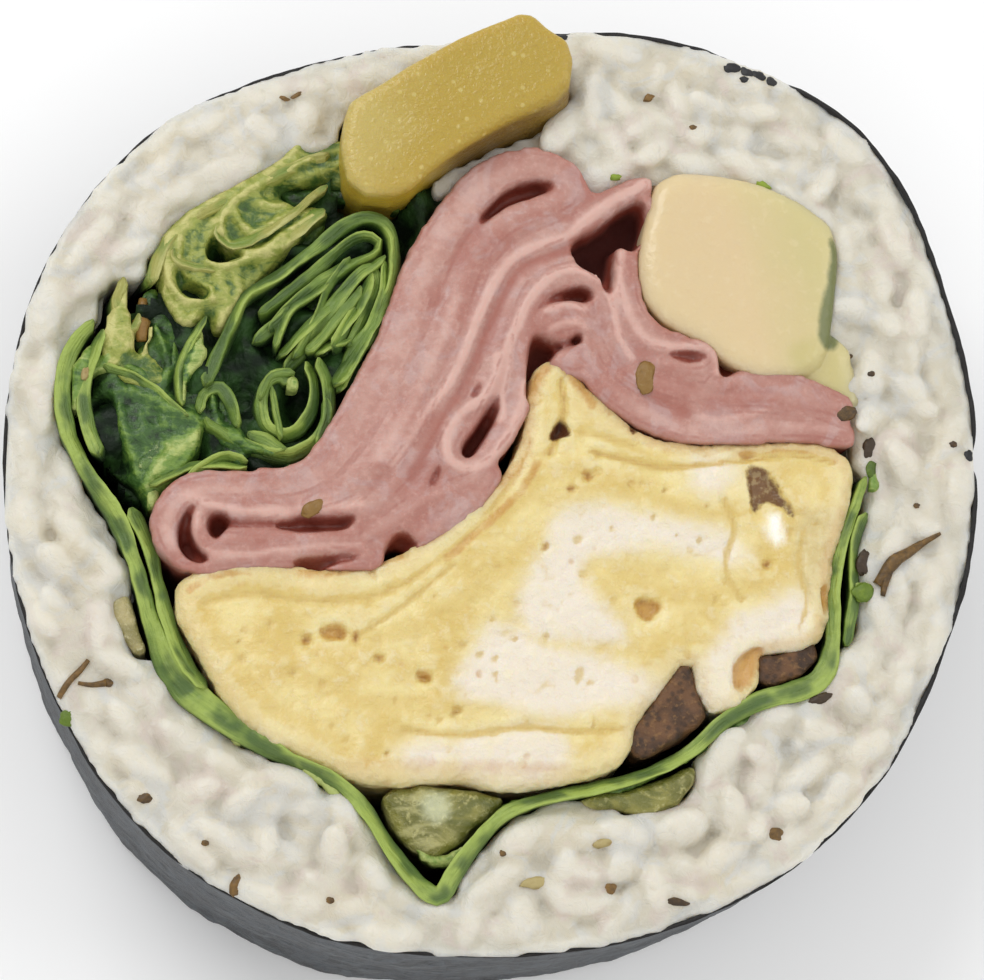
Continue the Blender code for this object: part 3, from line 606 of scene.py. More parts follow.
hamSettings = {
    "right": (-22.5, 24.5), "away": (-6.6, 23.4), "grid": 0.22, "voxel": 0.24, "smooth": 2, "reach": 1.0,
    "grow": 0.42, "crest": 0.06, "valley": 0.14, "flat": (8.0, 13.0), "top": 20.3, "foot": 0.2, "uneven": 0.25,
    "grain": 0.06, "flesh": (0.3, (1.0, 0.4, 0.3), 1.0),
    # light and shade also serve as painted light and painted shade on the folds; deep and dark are painted shade
    # in the slits and lower down
    "pink": (172, 120, 108), "pale": (186, 144, 132), "rose": (156, 94, 82), "lilac": (184, 154, 150),
    "light": (210, 172, 160), "shade": (160, 96, 82), "deep": (132, 56, 40), "dark": (84, 30, 22),
    # more ham below and beside the cucumber, as pixels and thickness
    "extra": (((715, 386, 1.4), (745, 380, 1.6), (775, 386, 1.6), (805, 396, 1.5), (838, 408, 1.2)),
              ((588, 246, 1.4), (604, 240, 1.8), (622, 230, 2.2), (640, 222, 2.2)),
              ((600, 252, 1.4), (608, 262, 1.2), (612, 276, 0.8)),
              ((540, 348, 1.3), (556, 352, 1.5), (574, 360, 1.4))),
    # depth and pixels of the slits and holes
    "slits": (
        (1.6, ((479, 222), (490, 206), (508, 190), (533, 181), (551, 183), (552, 189), (535, 196),
            (513, 203), (495, 214), (483, 224))),
        (1.6, ((538, 309), (549, 298), (567, 290), (588, 288), (591, 301), (567, 300), (551, 303))),
        (2.6, ((533, 338), (540, 337), (551, 342), (567, 341), (580, 333), (582, 342), (564, 347),
            (552, 357), (542, 372), (536, 386), (534, 399), (527, 399), (528, 367))),
        (2.4, ((498, 396), (486, 414), (470, 436), (462, 450), (469, 458), (482, 442), (495, 420), (499, 406))),
        (1.0, ((480, 383), (475, 388), (470, 397), (475, 398), (480, 390))),
        (1.0, ((438, 466), (430, 480), (429, 488), (437, 481), (441, 470))),
        (2.4, ((188, 508), (180, 524), (178, 540), (184, 553), (195, 561), (210, 561), (199, 549),
            (192, 537), (190, 522), (195, 506))),
        (2.0, ((210, 516), (220, 513), (231, 521), (223, 531), (216, 540), (209, 530))),
        (0.5, ((226, 520), (250, 522), (274, 522), (274, 527), (250, 527), (226, 526))),
        (1.4, ((272, 525), (290, 520), (308, 516), (330, 518), (352, 516), (355, 521), (342, 530),
            (315, 531), (290, 530))),
        (1.6, ((402, 532), (387, 549), (418, 547))),
        (1.2, ((293, 562), (308, 580), (318, 577), (328, 567), (345, 562), (362, 557), (345, 555), (320, 557))),
        (0.9, ((668, 354), (690, 352), (707, 358), (694, 363), (676, 360))),
        (1.6, ((715, 343), (735, 350), (763, 362), (744, 368), (722, 377), (719, 360))),
        (3.4, ((574, 243), (597, 230), (624, 209), (643, 204), (645, 232), (634, 250), (616, 248),
            (610, 296), (599, 276), (579, 264))),
    ),
    # light and shaded bands: half width, from shade to light, height, and pixels
    "bands": (
        (1.3, 0.35, 0.0, ((475, 186), (440, 240), (420, 300), (398, 360), (370, 430), (330, 480), (280, 500))),
        (0.45, -0.6, -0.12, ((484, 218), (470, 236), (458, 254), (447, 276), (436, 304))),
        (0.9, -0.5, -0.05, ((502, 238), (482, 246), (464, 262))),
        (0.5, 0.4, 0.05, ((458, 300), (442, 340), (426, 380), (405, 420), (380, 460))),
        (0.35, -0.4, -0.08, ((452, 345), (436, 385), (415, 425), (392, 462), (368, 492))),
        (0.4, 0.9, 0.23, ((651, 181), (624, 195), (590, 217), (567, 238), (538, 247), (515, 258),
            (499, 276), (488, 297), (476, 322), (468, 345), (456, 372), (444, 392), (425, 413), (407, 442),
            (392, 466))),
        (0.5, -0.8, -0.2, ((574, 247), (545, 258), (522, 271), (507, 290), (496, 312), (485, 338),
            (474, 362), (463, 385), (446, 410), (430, 438), (420, 462), (412, 478))),
        (0.35, 1, 0.26, ((613, 300), (606, 284), (594, 274), (576, 270), (558, 272), (542, 285), (526, 304),
            (517, 324), (508, 345), (505, 367), (500, 392), (500, 420))),
        (0.3, 0.8, 0.2, ((608, 285), (613, 313), (618, 338), (630, 360))),
        (0.35, -0.5, -0.1, ((600, 300), (604, 325), (614, 350), (626, 368))),
        (0.35, 0.9, 0.23, ((497, 358), (494, 381), (480, 401), (458, 415), (447, 435), (446, 454),
            (455, 466), (472, 470), (490, 460), (508, 436), (520, 410), (526, 385))),
        (0.3, 0.7, 0.18, ((545, 312), (556, 307), (570, 306), (584, 310))),
        (0.3, 0.7, 0.18, ((550, 331), (560, 326), (574, 323), (584, 328))),
        (0.35, 0.8, 0.2, ((621, 252), (618, 276), (625, 308), (642, 338), (668, 349), (700, 348),
            (715, 358), (717, 374))),
        (0.4, -0.5, -0.1, ((648, 394), (668, 406), (692, 416))),
        (1.0, -0.45, 0.0, ((662, 382), (700, 392), (750, 399), (800, 404), (830, 410))),
        (0.3, 0.6, 0.16, ((696, 417), (720, 420), (756, 413), (774, 409))),
        (0.5, 0.4, 0.0, ((640, 410), (680, 430), (730, 433), (790, 425), (840, 430))),
        (0.35, 0.7, 0.18, ((192, 500), (240, 512), (280, 514), (320, 511), (360, 505))),
        (0.35, 0.6, 0.16, ((197, 515), (195, 535), (208, 552), (240, 556), (300, 548), (360, 545))),
        (0.6, -0.4, 0.0, ((210, 540), (260, 538), (330, 536), (390, 532))),
        (0.5, 0.5, 0.05, ((172, 545), (166, 525), (176, 505), (200, 492), (250, 492))),
    ),
}


def hamField(points):  # gap between folds, crest, height, slits, carving and bands at each point
    look = hamSettings
    gap, crest, top = np.full(len(points), 1e9), np.zeros(len(points)), np.zeros(len(points))
    for seed, line in enumerate((*hamLines.values(), *map(withWidth, look["extra"]))):
        distance, half = sheetDistance(points, smoothPath(line, 0.8))
        flat = np.column_stack([points[:, :2], np.full(len(points), 4.0 * seed)])
        height = look["top"] + look["uneven"] * (rough(flat, 6.0, seed) + 0.5 * rough(flat, 2.2, seed + 9))
        closer = distance - half < gap
        gap = np.where(closer, distance - half, gap)
        crest = np.where(closer, 1 - np.clip(distance / half, 0, 1), crest)
        top = np.where(closer, height, top)
    slit, carve = np.full(len(points), -1e9), np.zeros(len(points))
    for depth, pixels in look["slits"]:
        inside = depthInside(points, outlineOf(pixels, 0.3))
        slit = np.maximum(slit, inside)
        carve = np.maximum(carve, depth * step(inside, -0.12, 0.22))
    band = np.zeros(len(points))
    for half, amount, height, pixels in look["bands"]:
        share = nearLine(points, lineOf(pixels, 0.6), half)
        band += amount * share
        carve -= height * share
    return gap, crest, top, slit, carve, np.clip(band, -1, 1)


def makeHam():
    look = hamSettings
    xs, ys = np.arange(*look["right"], look["grid"]), np.arange(*look["away"], look["grid"])
    grid = gridPoints(xs, ys)
    gap, crest, top, slit, carve, band = hamField(grid)
    near = gap < look["reach"]
    outside = finderOf(grid[~near])
    inset = np.array([outside.find(point)[2] if close else 0 for point, close in zip(grid, near)])
    fold = look["crest"] * (1 - crest) ** 2 + look["valley"] * np.clip(gap, 0, 0.6)
    fold *= 1 - 0.6 * step(grid[:, 0], *look["flat"])
    lower = look["foot"] + (look["top"] - top) * 0.4 + look["uneven"] * 0.4 + fold + carve.clip(0, 2)
    block = plateMesh("hamBlock", xs, ys, inset > look["reach"] - look["grow"], top - fold - carve,
                      np.maximum(lower, 0.1))
    ham = addPiece("hamSlices", remeshed(block, look))
    points, normals = readSurface(ham.data)
    table = toTable(points)
    wide = {key: sampled(values, xs, ys, table) for key, values in
            (("gap", gap), ("crest", crest), ("top", top), ("slit", slit), ("band", band))}
    writePoints(ham.data, pushed(points, normals, look["grain"] * rough(points * 1000, 0.9, 8)))
    below = np.where(table[:, 2] > 10, wide.pop("top") - table[:, 2], table[:, 2] - look["foot"])
    addValues(ham, below=below, **wide)
    finishPiece(ham, hamPaint(), *hamLines)


def hamPaint():
    paint = Paint("ham", hamSettings)
    at = paint.place()
    below, gap, crest, slit, band = paint.attributes("below", "gap", "crest", "slit", "band")
    broad = paint.lumps(at, 4.0, 2.0)
    fine = paint.lumps(at, 0.4, 3.0, 0.6)
    streak = paint.lumps(at, 1.1, 3.0, 0.6)
    along = band + (streak - 0.5) * 0.6
    line = gap + (streak - 0.5) * 0.3
    colour = paint.coats(
        "pink",
        (broad.ramp(0.35, 0.68), "pale"),
        (paint.lumps(at, 2.2, 3.0, 0.6, 1.0).ramp(0.48, 0.62) * 0.6, "lilac"),
        (streak.ramp(0.55, 0.38) * 0.25, "shade"),
        (fine.ramp(0.52, 0.72) * 0.2, "rose"),
        (fine.ramp(0.5, 0.3) * 0.25, "light"),
        # painted light and shade: lighter on the bands' ridges and the crests, darker in their valleys, along the
        # lines between the folds and in the gaps, and painted shade in the slits and lower down
        (along.ramp(0.05, 0.75) * 0.85, "light"),
        (along.ramp(-0.05, -0.8) * 0.8, "shade"),
        (line.ramp(-0.14, 0.0) * line.ramp(0.2, 0.04) * streak.ramp(0.42, 0.62) * 0.5, "rose"),
        (line.ramp(0.05, 0.45) * 0.3, "shade"),
        (crest.ramp(0.4, 0.95) * 0.15, "light"),
        ((slit + (fine - 0.5) * 0.15).ramp(-0.14, 0.08) * 0.85, "deep"),
        ((slit + (broad - 0.5)).ramp(0.1, 0.45) * 0.8, "dark"),
        (below.ramp(0.6, 1.5) * 0.85, "deep"),
        (below.ramp(1.6, 3.4), "dark"))
    normal = paint.bump(paint.lumps(at, 0.35, 3.0, 0.6), 0.06)
    return paint.finish(colour, 0.34 + fine * 0.18 + below.ramp(1.2, 2.4) * 0.45, normal, hamSettings["flesh"])


makeHam()

# Edges of leaf, as lines on the cut face
leafLines = {
    "leaf_wrap": ((-24.9, 10.2), (-26.2, 8.4), (-26.7, 6), (-26.3, 3.4), (-25, 0.6), (-23.3, -2),
        (-22.2, -4.4), (-21.5, -6.6), (-20.8, -9), (-19.7, -11.7), (-17.8, -13.5), (-15.2, -15.3),
        (-12.3, -17), (-9.4, -18.4), (-7.6, -20.1), (-6, -22.6), (-4.3, -24.6), (-3.2, -25.2),
        (-2.3, -23.9), (-0.9, -21.9), (0.9, -20.1), (3.3, -19.15), (6.3, -18.5), (9.5, -17.6),
        (12.2, -16.2), (14.3, -14.4), (16.6, -13), (19.2, -12.2), (20.7, -11.3), (21.4, -9.2), (21.5, -6),
        (22, -3.2), (22.9, -0.8), (23.7, 1.4)),
    "leaf_wrap_left": ((-22.3, -1.6), (-21.2, -3.8), (-20.6, -5.8), (-20.1, -7.8), (-19.4, -9.8),
        (-18.6, -11.4), (-17.5, -12.7)),
    "leaf_wrap_right": ((23.7, -0.9), (23.1, -2.6), (22.9, -4.4), (22.9, -6.2), (22.6, -7.8), (22.3, -9.4)),
    "leaf_loop": ((-17.9, 6.3), (-16.9, 9.2), (-15.6, 12.2), (-13.4, 13.6), (-11.3, 15.2), (-9.4, 16.9),
        (-7.9, 17.6), (-6.6, 17.2), (-6.05, 15.8), (-6.2, 13.4), (-7.15, 11), (-8.4, 8.6), (-9.8, 6.5)),
    "leaf_fold": ((-14.7, 11.1), (-12.8, 12.7), (-10.8, 14.3), (-9.2, 15.7), (-8, 16.3), (-7.25, 15.9),
        (-7.9, 15.3), (-9.4, 14.5), (-11.3, 12.9), (-12.9, 11.3), (-14, 9.9)),
    "leaf_petal_1": ((-13.3, 8.3), (-11.6, 10.1), (-10, 11.9), (-8.7, 13.6), (-7.8, 14.4), (-7.2, 14),
        (-7.25, 12.8), (-8, 11), (-9, 9.1)),
    "leaf_petal_2": ((-11.7, 8.7), (-10.4, 10.1), (-9.2, 11.7), (-8.3, 13)),
    "leaf_petal_3": ((-10.1, 8.9), (-9.3, 10.3), (-8.6, 11.6)),
    "leaf_curl_outer": ((-10.4, 5.8), (-10.35, 4.6), (-10.8, 3.4), (-11.7, 2.5), (-13, 2.1), (-14.6, 2.5),
        (-16.4, 3.4), (-17.8, 4.3)),
    "leaf_curl_inner": ((-11.6, 8), (-11.15, 6.8), (-11.2, 5.2), (-11.8, 4), (-12.8, 3.35), (-13.9, 3.7),
        (-14.3, 4.9), (-14.1, 6.4), (-13.3, 7.1), (-12.5, 6.7)),
    "leaf_blade": ((-17.9, 10.6), (-18.9, 8.6), (-19.3, 7), (-19.2, 5)),
    "leaf_rim": ((-24.3, 9.6), (-25, 7.6), (-25.4, 5.6), (-25.1, 3.4), (-24.4, 1.6)),
    "leaf_crinkle": ((-24.2, 7.4), (-22.6, 6.9), (-21, 6), (-19.8, 4.9), (-18.9, 4.3)),
    "leaf_under": ((-21.2, -0.2), (-20, 0.4), (-18.5, 1.2), (-16.8, 1.35), (-15.2, 1.2)),
}
# Narrow leaf edges inside the bundle: pixels of the photograph, and thickness
ribLines = {
    "rib1": ((286, 368, 0.47), (315, 334, 0.63), (334, 305, 0.71), (356, 276, 0.63), (385, 256, 0.39)),
    "rib2": ((274, 348, 0.31), (286, 310, 0.63), (308, 293, 0.71), (329, 283, 0.31)),
    "rib3": ((254, 341, 0.31), (266, 331, 0.54), (281, 319, 0.47), (289, 307, 0.31)),
    "rib4": ((332, 338, 0.39), (351, 319, 0.55), (363, 295, 0.66), (372, 273, 0.31)),
    "rib5": ((341, 390, 0.31), (356, 353, 0.76), (375, 324, 0.76), (384, 295, 0.6), (386, 261, 0.31)),
    "rib6": ((317, 445, 0.31), (328, 414, 0.54), (328, 382, 0.69), (318, 358, 0.69)),
    "rib7": ((259, 399, 0.22), (269, 375, 0.28), (286, 370, 0.35), (295, 373, 0.31)),
    "rib8": ((272, 385, 0.25), (276, 407, 0.28), (282, 438, 0.31)),
    "rib9": ((247, 432, 0.39), (264, 437, 0.66), (286, 448, 0.55)),
    "rib10": ((200, 411, 0.47), (205, 392, 0.63), (220, 385, 0.69), (230, 402, 0.54), (236, 426, 0.31)),
    "rib12": ((264, 482, 0.31), (300, 473, 0.5), (334, 443, 0.57), (351, 402, 0.38)),
    "rib13": ((186, 484, 0.47), (206, 467, 0.69), (225, 457, 0.79), (247, 462, 0.47)),
    "rib15": ((295, 358, 0.31), (310, 334, 0.39), (320, 310, 0.44), (329, 285, 0.31), (350, 256, 0.35)),
    "rib16": ((317, 353, 0.31), (329, 344, 0.41), (351, 339, 0.28)),
}
# Leaf faces that lie towards the viewer: depth below the cut face, tint from dark to yellow (darker on the deeper
# faces, as painted shade), and pixels
leafFaces = {
    "blade": (-0.2, 0.72, ((180, 367), (202, 324), (207, 359), (190, 379), (185, 412), (181, 411))),
    "bladeShade": (1.0, 0.2, ((190, 379), (207, 362), (220, 379), (204, 390), (197, 416), (187, 412))),
    "wrapFace": (0.3, 0.5, ((101, 329), (83, 348), (70, 366), (68, 384), (70, 409), (82, 412), (83, 398),
        (89, 383), (97, 363), (101, 346))),
    "wrapEdge": (0.1, 0.72, ((103, 346), (114, 342), (117, 367), (103, 370), (94, 379), (87, 401),
        (83, 401), (87, 384), (96, 363))),
    "knob": (0.3, 0.75, ((145, 488), (159, 484), (159, 501), (153, 510), (146, 510), (143, 499))),
    "loopFace": (1.0, 0.3, ((204, 390), (220, 380), (232, 398), (237, 426), (209, 421), (197, 412))),
    "tealBand": (1.5, 0.12, ((278, 190), (300, 185), (344, 186), (404, 198), (417, 196), (392, 213),
        (356, 203), (320, 203), (295, 209))),
    "tealMiddle": (1.8, 0.2, ((286, 242), (320, 213), (334, 210), (320, 242), (305, 256), (276, 276))),
    "ball": (-0.1, 0.6, ((283, 382), (288, 373), (297, 372), (303, 380), (300, 391), (290, 393))),
    "flapLeft": (0.4, 0.8, ((196, 690), (208, 702), (226, 714), (246, 727), (242, 748), (229, 742),
        (222, 728), (208, 718), (196, 706))),
    "flapDark": (0.9, 0.1, ((262, 742), (280, 752), (288, 769), (274, 766), (266, 754))),
    "flapPale": (0.3, 0.85, ((294, 755), (316, 767), (338, 783), (352, 802), (336, 800), (320, 787),
        (304, 777))),
    "armLeaf": (0.7, 0.3, ((532, 797), (520, 812), (497, 826), (480, 846), (470, 856), (476, 832),
        (496, 808), (512, 797))),
    "armUnder": (0.7, 0.3, ((600, 789), (640, 775), (690, 749), (740, 716), (786, 694), (826, 690),
        (824, 704), (790, 706), (746, 729), (700, 757), (650, 783), (610, 799))),
    "vBand": (0.6, 0.6, ((406, 836), (430, 850), (452, 849), (468, 836), (460, 858), (441, 870), (420, 860))),
    "rightBlob": (0.1, 0.66, ((852, 584), (864, 577), (879, 586), (874, 601), (858, 604))),
    "rightBit": (0.0, 0.55, ((866, 466), (873, 460), (880, 474), (884, 484), (878, 494), (869, 492))),
    "underLoop": (1.9, 0.16, ((208, 330), (236, 322), (262, 300), (282, 300), (264, 330), (242, 356), (214, 376))),
    "loopBack": (1.6, 0.2, ((330, 250), (356, 232), (378, 236), (388, 262), (376, 300), (350, 340),
        (330, 360), (312, 350), (300, 320), (316, 280))),
    "frillGreen": (1.1, 0.24, ((134, 352), (148, 330), (157, 318), (164, 328), (178, 332), (192, 336),
        (200, 350), (196, 368), (188, 388), (170, 394), (150, 386), (136, 372))),
    "gapBack": (1.3, 0.18, ((138, 300), (156, 282), (168, 306), (180, 324), (192, 338), (172, 348), (150, 338))),
    "frillFold": (0.5, 0.4, ((150, 326), (158, 320), (168, 340), (174, 362), (168, 380), (162, 362), (158, 344))),
}
lettuceFaces = {
    "lettuceLeft": (0.1, 0.7, ((103, 326), (108, 308), (116, 300), (119, 286), (125, 278), (130, 286),
        (130, 300), (135, 322), (137, 340), (132, 352), (122, 362), (112, 372), (102, 366), (98, 344))),
    "lettuceBase": (0.5, 0.42, ((116, 356), (130, 344), (140, 350), (154, 352), (166, 366), (170, 384),
        (150, 390), (130, 384), (114, 374))),
    "lettuceEdge": (0.3, 0.86, ((140, 354), (144, 340), (149, 322), (153, 308), (157, 310), (155, 328),
        (150, 346), (145, 356))),
}
# Crumpled masses of leaf. Pixels: outline, ridges with half width and height, pits with depth, paler areas
massSettings = {"lettuceMass": {
    "slot": "lettuce", "tint": 0.78, "darker": 0.2,
    "top": 19.1, "foot": 0.6, "grid": 0.2, "voxel": 0.22, "smooth": 2, "uneven": 0.28, "edge": 0.8,
    "outline": ((297, 138), (354, 138), (354, 168), (347, 187), (300, 188), (282, 191), (297, 203),
        (322, 205), (333, 219), (314, 238), (291, 262), (263, 286), (244, 305), (231, 327), (214, 334),
        (206, 314), (203, 325), (190, 331), (177, 323), (165, 303), (156, 282), (156, 250), (161, 234),
        (183, 211), (206, 197), (229, 184), (247, 173), (271, 164), (285, 153)),
    "ridges": (
        (0.6, 0.7, ((295, 145), (272, 168), (249, 178), (229, 190), (208, 203), (187, 216), (169, 237),
            (163, 262), (166, 284))),
        (0.35, 0.9, ((312, 160), (282, 174), (258, 185), (236, 200), (222, 218), (221, 234), (230, 246),
            (247, 254), (262, 252), (278, 240), (300, 224), (325, 210))),
        (0.3, 0.7, ((235, 212), (243, 226), (256, 232), (270, 226), (288, 214), (328, 200))),
        (0.4, 0.8, ((208, 262), (222, 266), (247, 259), (276, 249), (299, 238))),
        (0.4, 0.8, ((186, 222), (180, 240), (179, 258), (184, 278), (196, 287), (207, 289), (213, 298))),
        (0.35, 0.8, ((168, 250), (168, 276), (175, 292), (186, 301), (200, 301))),
        (0.45, 0.7, ((163, 288), (171, 307), (181, 320), (190, 324), (196, 314))),
        (0.4, 0.5, ((247, 180), (240, 192), (228, 205), (214, 222), (206, 240), (205, 256))),
        (0.4, 0.6, ((300, 178), (322, 170), (348, 160))),
        (0.4, 0.5, ((304, 164), (325, 154), (350, 148))),
        (0.3, 0.6, ((256, 198), (270, 206), (290, 203))),
        (0.35, 0.5, ((218, 276), (226, 296), (222, 322))),
        (0.35, 0.5, ((236, 272), (240, 288), (232, 310))),
        (0.35, 0.5, ((200, 216), (194, 236), (193, 256), (199, 272))),
    ),
    "lights": (),
    "pits": ((3.2, ((217, 238), (208, 249), (213, 261), (228, 262), (243, 257), (231, 250), (222, 240))),
             (2.6, ((178, 266), (179, 282), (189, 295), (205, 298), (208, 292), (196, 285), (188, 282),
                 (183, 272))),
             (1.6, ((332, 221), (312, 242), (290, 266), (266, 287), (259, 283), (280, 262), (300, 240),
                 (322, 220)))),
}, "leafMass": {
    "slot": "leaf", "tint": 0.42, "darker": 0.1,
    "top": 18.9, "foot": 1.0, "grid": 0.2, "voxel": 0.22, "smooth": 2, "uneven": 0.45, "edge": 0.8,
    "outline": ((103, 348), (120, 358), (136, 352), (150, 338), (176, 333), (186, 350), (205, 350),
        (210, 370), (223, 384), (240, 402), (246, 430), (264, 440), (292, 452), (302, 474), (264, 489),
        (226, 482), (196, 472), (168, 488), (156, 506), (147, 513), (137, 492), (116, 472), (96, 448),
        (85, 420), (86, 396), (95, 366)),
    "ridges": (
        (0.55, 0.9, ((122, 386), (140, 394), (162, 402), (182, 413), (205, 423), (226, 433), (250, 447),
            (276, 455))),
        (0.5, 0.6, ((137, 388), (141, 412), (146, 440), (150, 470), (152, 500))),
        (0.45, 0.5, ((160, 402), (164, 430), (160, 455), (153, 482))),
        (0.45, 0.5, ((182, 414), (184, 436), (172, 458), (159, 480))),
        (0.55, 1.0, ((203, 424), (198, 446), (182, 468), (162, 490), (152, 506))),
        (0.5, 0.6, ((114, 372), (118, 400), (122, 425), (130, 452), (140, 480))),
        (0.5, 0.8, ((104, 352), (122, 364), (140, 372), (152, 386), (168, 396))),
        (0.45, 0.7, ((176, 338), (174, 356), (164, 378), (160, 396))),
        (0.45, 0.7, ((196, 470), (212, 460), (232, 456), (256, 464), (286, 470))),
        (0.25, 0.7, ((212, 392), (216, 412), (222, 430))),
        (0.25, 0.7, ((228, 396), (236, 414), (240, 432))),
        (0.25, 0.6, ((146, 402), (152, 428), (152, 450))),
        (0.25, 0.6, ((172, 408), (174, 430), (166, 450))),
        (1.0, 1.0, ((146, 484), (158, 468), (172, 454), (186, 446), (198, 436))),
    ),
    "lights": ((0.3, ((168, 436), (188, 428), (204, 424), (206, 434), (198, 448), (182, 462), (162, 482),
        (150, 496), (147, 480), (156, 456))),),
    "pits": ((3.0, ((206, 426), (217, 446), (208, 458), (192, 474), (182, 474), (198, 450))),
             (1.3, ((90, 404), (110, 396), (116, 424), (124, 448), (132, 474), (116, 468), (98, 446))),
             (1.6, ((150, 344), (170, 340), (164, 364), (152, 372))),
             (2.0, ((246, 456), (284, 462), (276, 470), (254, 474)))),
}}
leafLooks = {
    "leaf_wrap": {"lean": 0.0, "sway": 0.12, "rise": 0.35, "top": 20.3, "tint": 0.95, "spread": 1.0,
                  "vary": 0.2,
                  "widths": (0.5, 0.8, 1.0, 0.9, 0.8, 0.9, 0.9, 0.9, 1.0, 1.3, 1.6, 1.3, 0.8, 0.7, 0.9, 0.9,
                      1.0, 1.0, 0.9, 0.8, 0.8, 0.7, 0.7, 0.7, 0.8, 0.9, 1.0, 1.2, 1.2, 0.8, 0.7, 0.6, 0.6,
                      0.4)},
    "leaf_wrap_left": {"thick": 0.8, "lean": 0.0, "sway": 0.1, "tint": 0.65, "spread": 1.0},
    "leaf_wrap_right": {"thick": 0.7, "lean": 0.0, "sway": 0.1, "tint": 0.6, "spread": 1.0},
    "leaf_rim": {"thick": 0.6, "tint": 0.8, "top": 20.4},
    "leaf_loop": {"thick": 0.55, "tint": 0.55, "top": 20.3},
    "leaf_curl_inner": {"thick": 0.55, "tint": 0.6},
    "leaf_crinkle": {"thick": 0.4, "tint": 0.6, "spread": 1.0, "top": 20.0},
    "leaf_under": {"thick": 0.42, "tint": 0.6, "spread": 1.0},
    "leaf_blade": {"thick": 0.45, "tint": 0.75, "top": 20.2, "spread": 0.9},
}

lettuceLines = {
    "lettuce_1": ((-10.4, 21.7), (-12.5, 20.9), (-15, 19.5), (-17.4, 18), (-19.8, 16.4), (-20.8, 14.8),
        (-21.3, 12.8)),
    "lettuce_2": ((-20, 15.1), (-19.2, 14.3), (-17.2, 14), (-14.8, 14.9), (-12.4, 16.2), (-10.6, 18)),
    "lettuce_3": ((-17, 17), (-17.2, 16.2), (-16.3, 15.5), (-14.8, 15.9), (-13.2, 17), (-11.6, 18.6),
        (-10.4, 19.6)),
    "lettuce_4": ((-23, 13.1), (-23.4, 11.9), (-23.2, 10.5), (-22.5, 9.9), (-22.2, 10.8)),
}

# edge and cream paint the lit edges, as painted highlights; dark and black are painted shade further down between
# the sheets
leafColours = {
    "edge": (156, 176, 82), "bright": (110, 136, 54), "mid": (60, 86, 38), "dark": (22, 40, 26),
    "black": (10, 16, 11), "yellow": (158, 156, 78), "cream": (188, 186, 118),
}


def leafPaint(name, edge, face, shade, dark):  # with the names of its colours
    paint = Paint(name, leafColours)
    at = paint.place()
    depth, rim, tint, across, along, lit = paint.attributes("depth", "rim", "tint", "across", "along", "lit")
    broad = paint.lumps(at, 2.6, 2.0)
    fine = paint.lumps(at, 0.5, 3.0, 0.6)
    strip = paint.node("ShaderNodeCombineXYZ", X=along * 0.25, Y=across * 1.6, Z=depth * 1.2)[0]
    strands = paint.lumps(strip, 1.0, 3.0, 0.65)
    # lit makes one edge of each sheet lighter and the other darker, painted light and shade, mixed with the leaf's
    # own tint and grain
    level = (lit * 0.45 + 0.55 + (broad - 0.5) + (tint - 0.5) * 0.9
             + (fine - 0.5) * 0.5 + (strands - 0.5) * 1.3)
    middle = (1 - across * across).ramp(0.3, 0.95) * rim.ramp(0.2, 0.7)
    colour = paint.coats(
        shade,
        (level.ramp(0.0, 0.55), face),
        (level.ramp(0.6, 1.1), edge),
        (middle * 0.75 * broad.ramp(0.56, 0.4), shade),
        # painted shade, darker further down the sheets
        ((depth + (fine - 0.5) * 0.6).ramp(0.3, 1.3), shade),
        ((depth + (broad - 0.5) * 1.5).ramp(0.9, 2.6), dark),
        (depth.ramp(2.2, 5.0), "black"))
    veins = paint.cells(paint.stretched(at, (1.0, 1.0, 0.45)), 1.1)
    normal = paint.bump(fine, 0.1, paint.bump(veins * 0.6 + strands, 0.2))
    return paint.finish(colour, 0.38 + fine * 0.2, normal)


leafEdges = {**leafLines, **{name: withWidth(line) for name, line in ribLines.items()}}
leaves = makeSheets("perillaLeaves", leafEdges, sheetSettings["leaf"], "leaf", leafLooks)
finishPiece(leaves, leafPaint("leaf", "edge", "bright", "mid", "dark"), *leafLines)
lettuce = makeSheets("lettuceLeaves", lettuceLines, sheetSettings["lettuce"], "lettuce")
finishPiece(lettuce, leafPaint("lettuce", "cream", "yellow", "bright", "dark"), *lettuceLines)

faceSettings = {
    "grid": 0.25, "voxel": 0.2, "smooth": 2, "thick": 1.6, "round": 0.35, "edge": 0.7, "uneven": 0.3,
    "leaf": ((22, 42, 18), (58, 92, 36), (112, 142, 58), (170, 182, 104)),  # dark to light
    "lettuce": ((30, 48, 26), (72, 100, 42), (148, 156, 70), (192, 188, 116)),
}


def makeFaces(name, table):  # plates of leaf with rounded edges, as one skin
    look = faceSettings
    plates, outlines, tints = [], [], []
    for seed, (drop, tint, pixels) in enumerate(table.values()):
        outline = outlineOf(pixels, 0.4, drop)
        outlines.append(outline)
        tints.append(tint)
        xs, ys, grid = gridOver(outline, look["grid"], 5.0 * seed)
        depth = depthInside(grid, outline)
        top = (thickness - drop + look["uneven"] * rough(grid, 2.2, seed)
               + 0.4 * look["uneven"] * rough(grid, 0.8, seed)
               - look["round"] * (1 - np.clip(depth / look["edge"], 0, 1)) ** 2)
        plates.append(plateMesh("plate", xs, ys, depth > 0, top, top - look["thick"]))
    piece = addPiece(name, remeshed(merged(name, plates), look))
    table = toTable(readPoints(piece.data))
    depths = np.array([depthInside(table, outline) for outline in outlines])
    addValues(piece, hollow=hollows(piece.data, 12), tint=np.array(tints)[depths.argmax(axis=0)],
              inset=np.clip(depths.max(axis=0), -1, 3))
    return piece


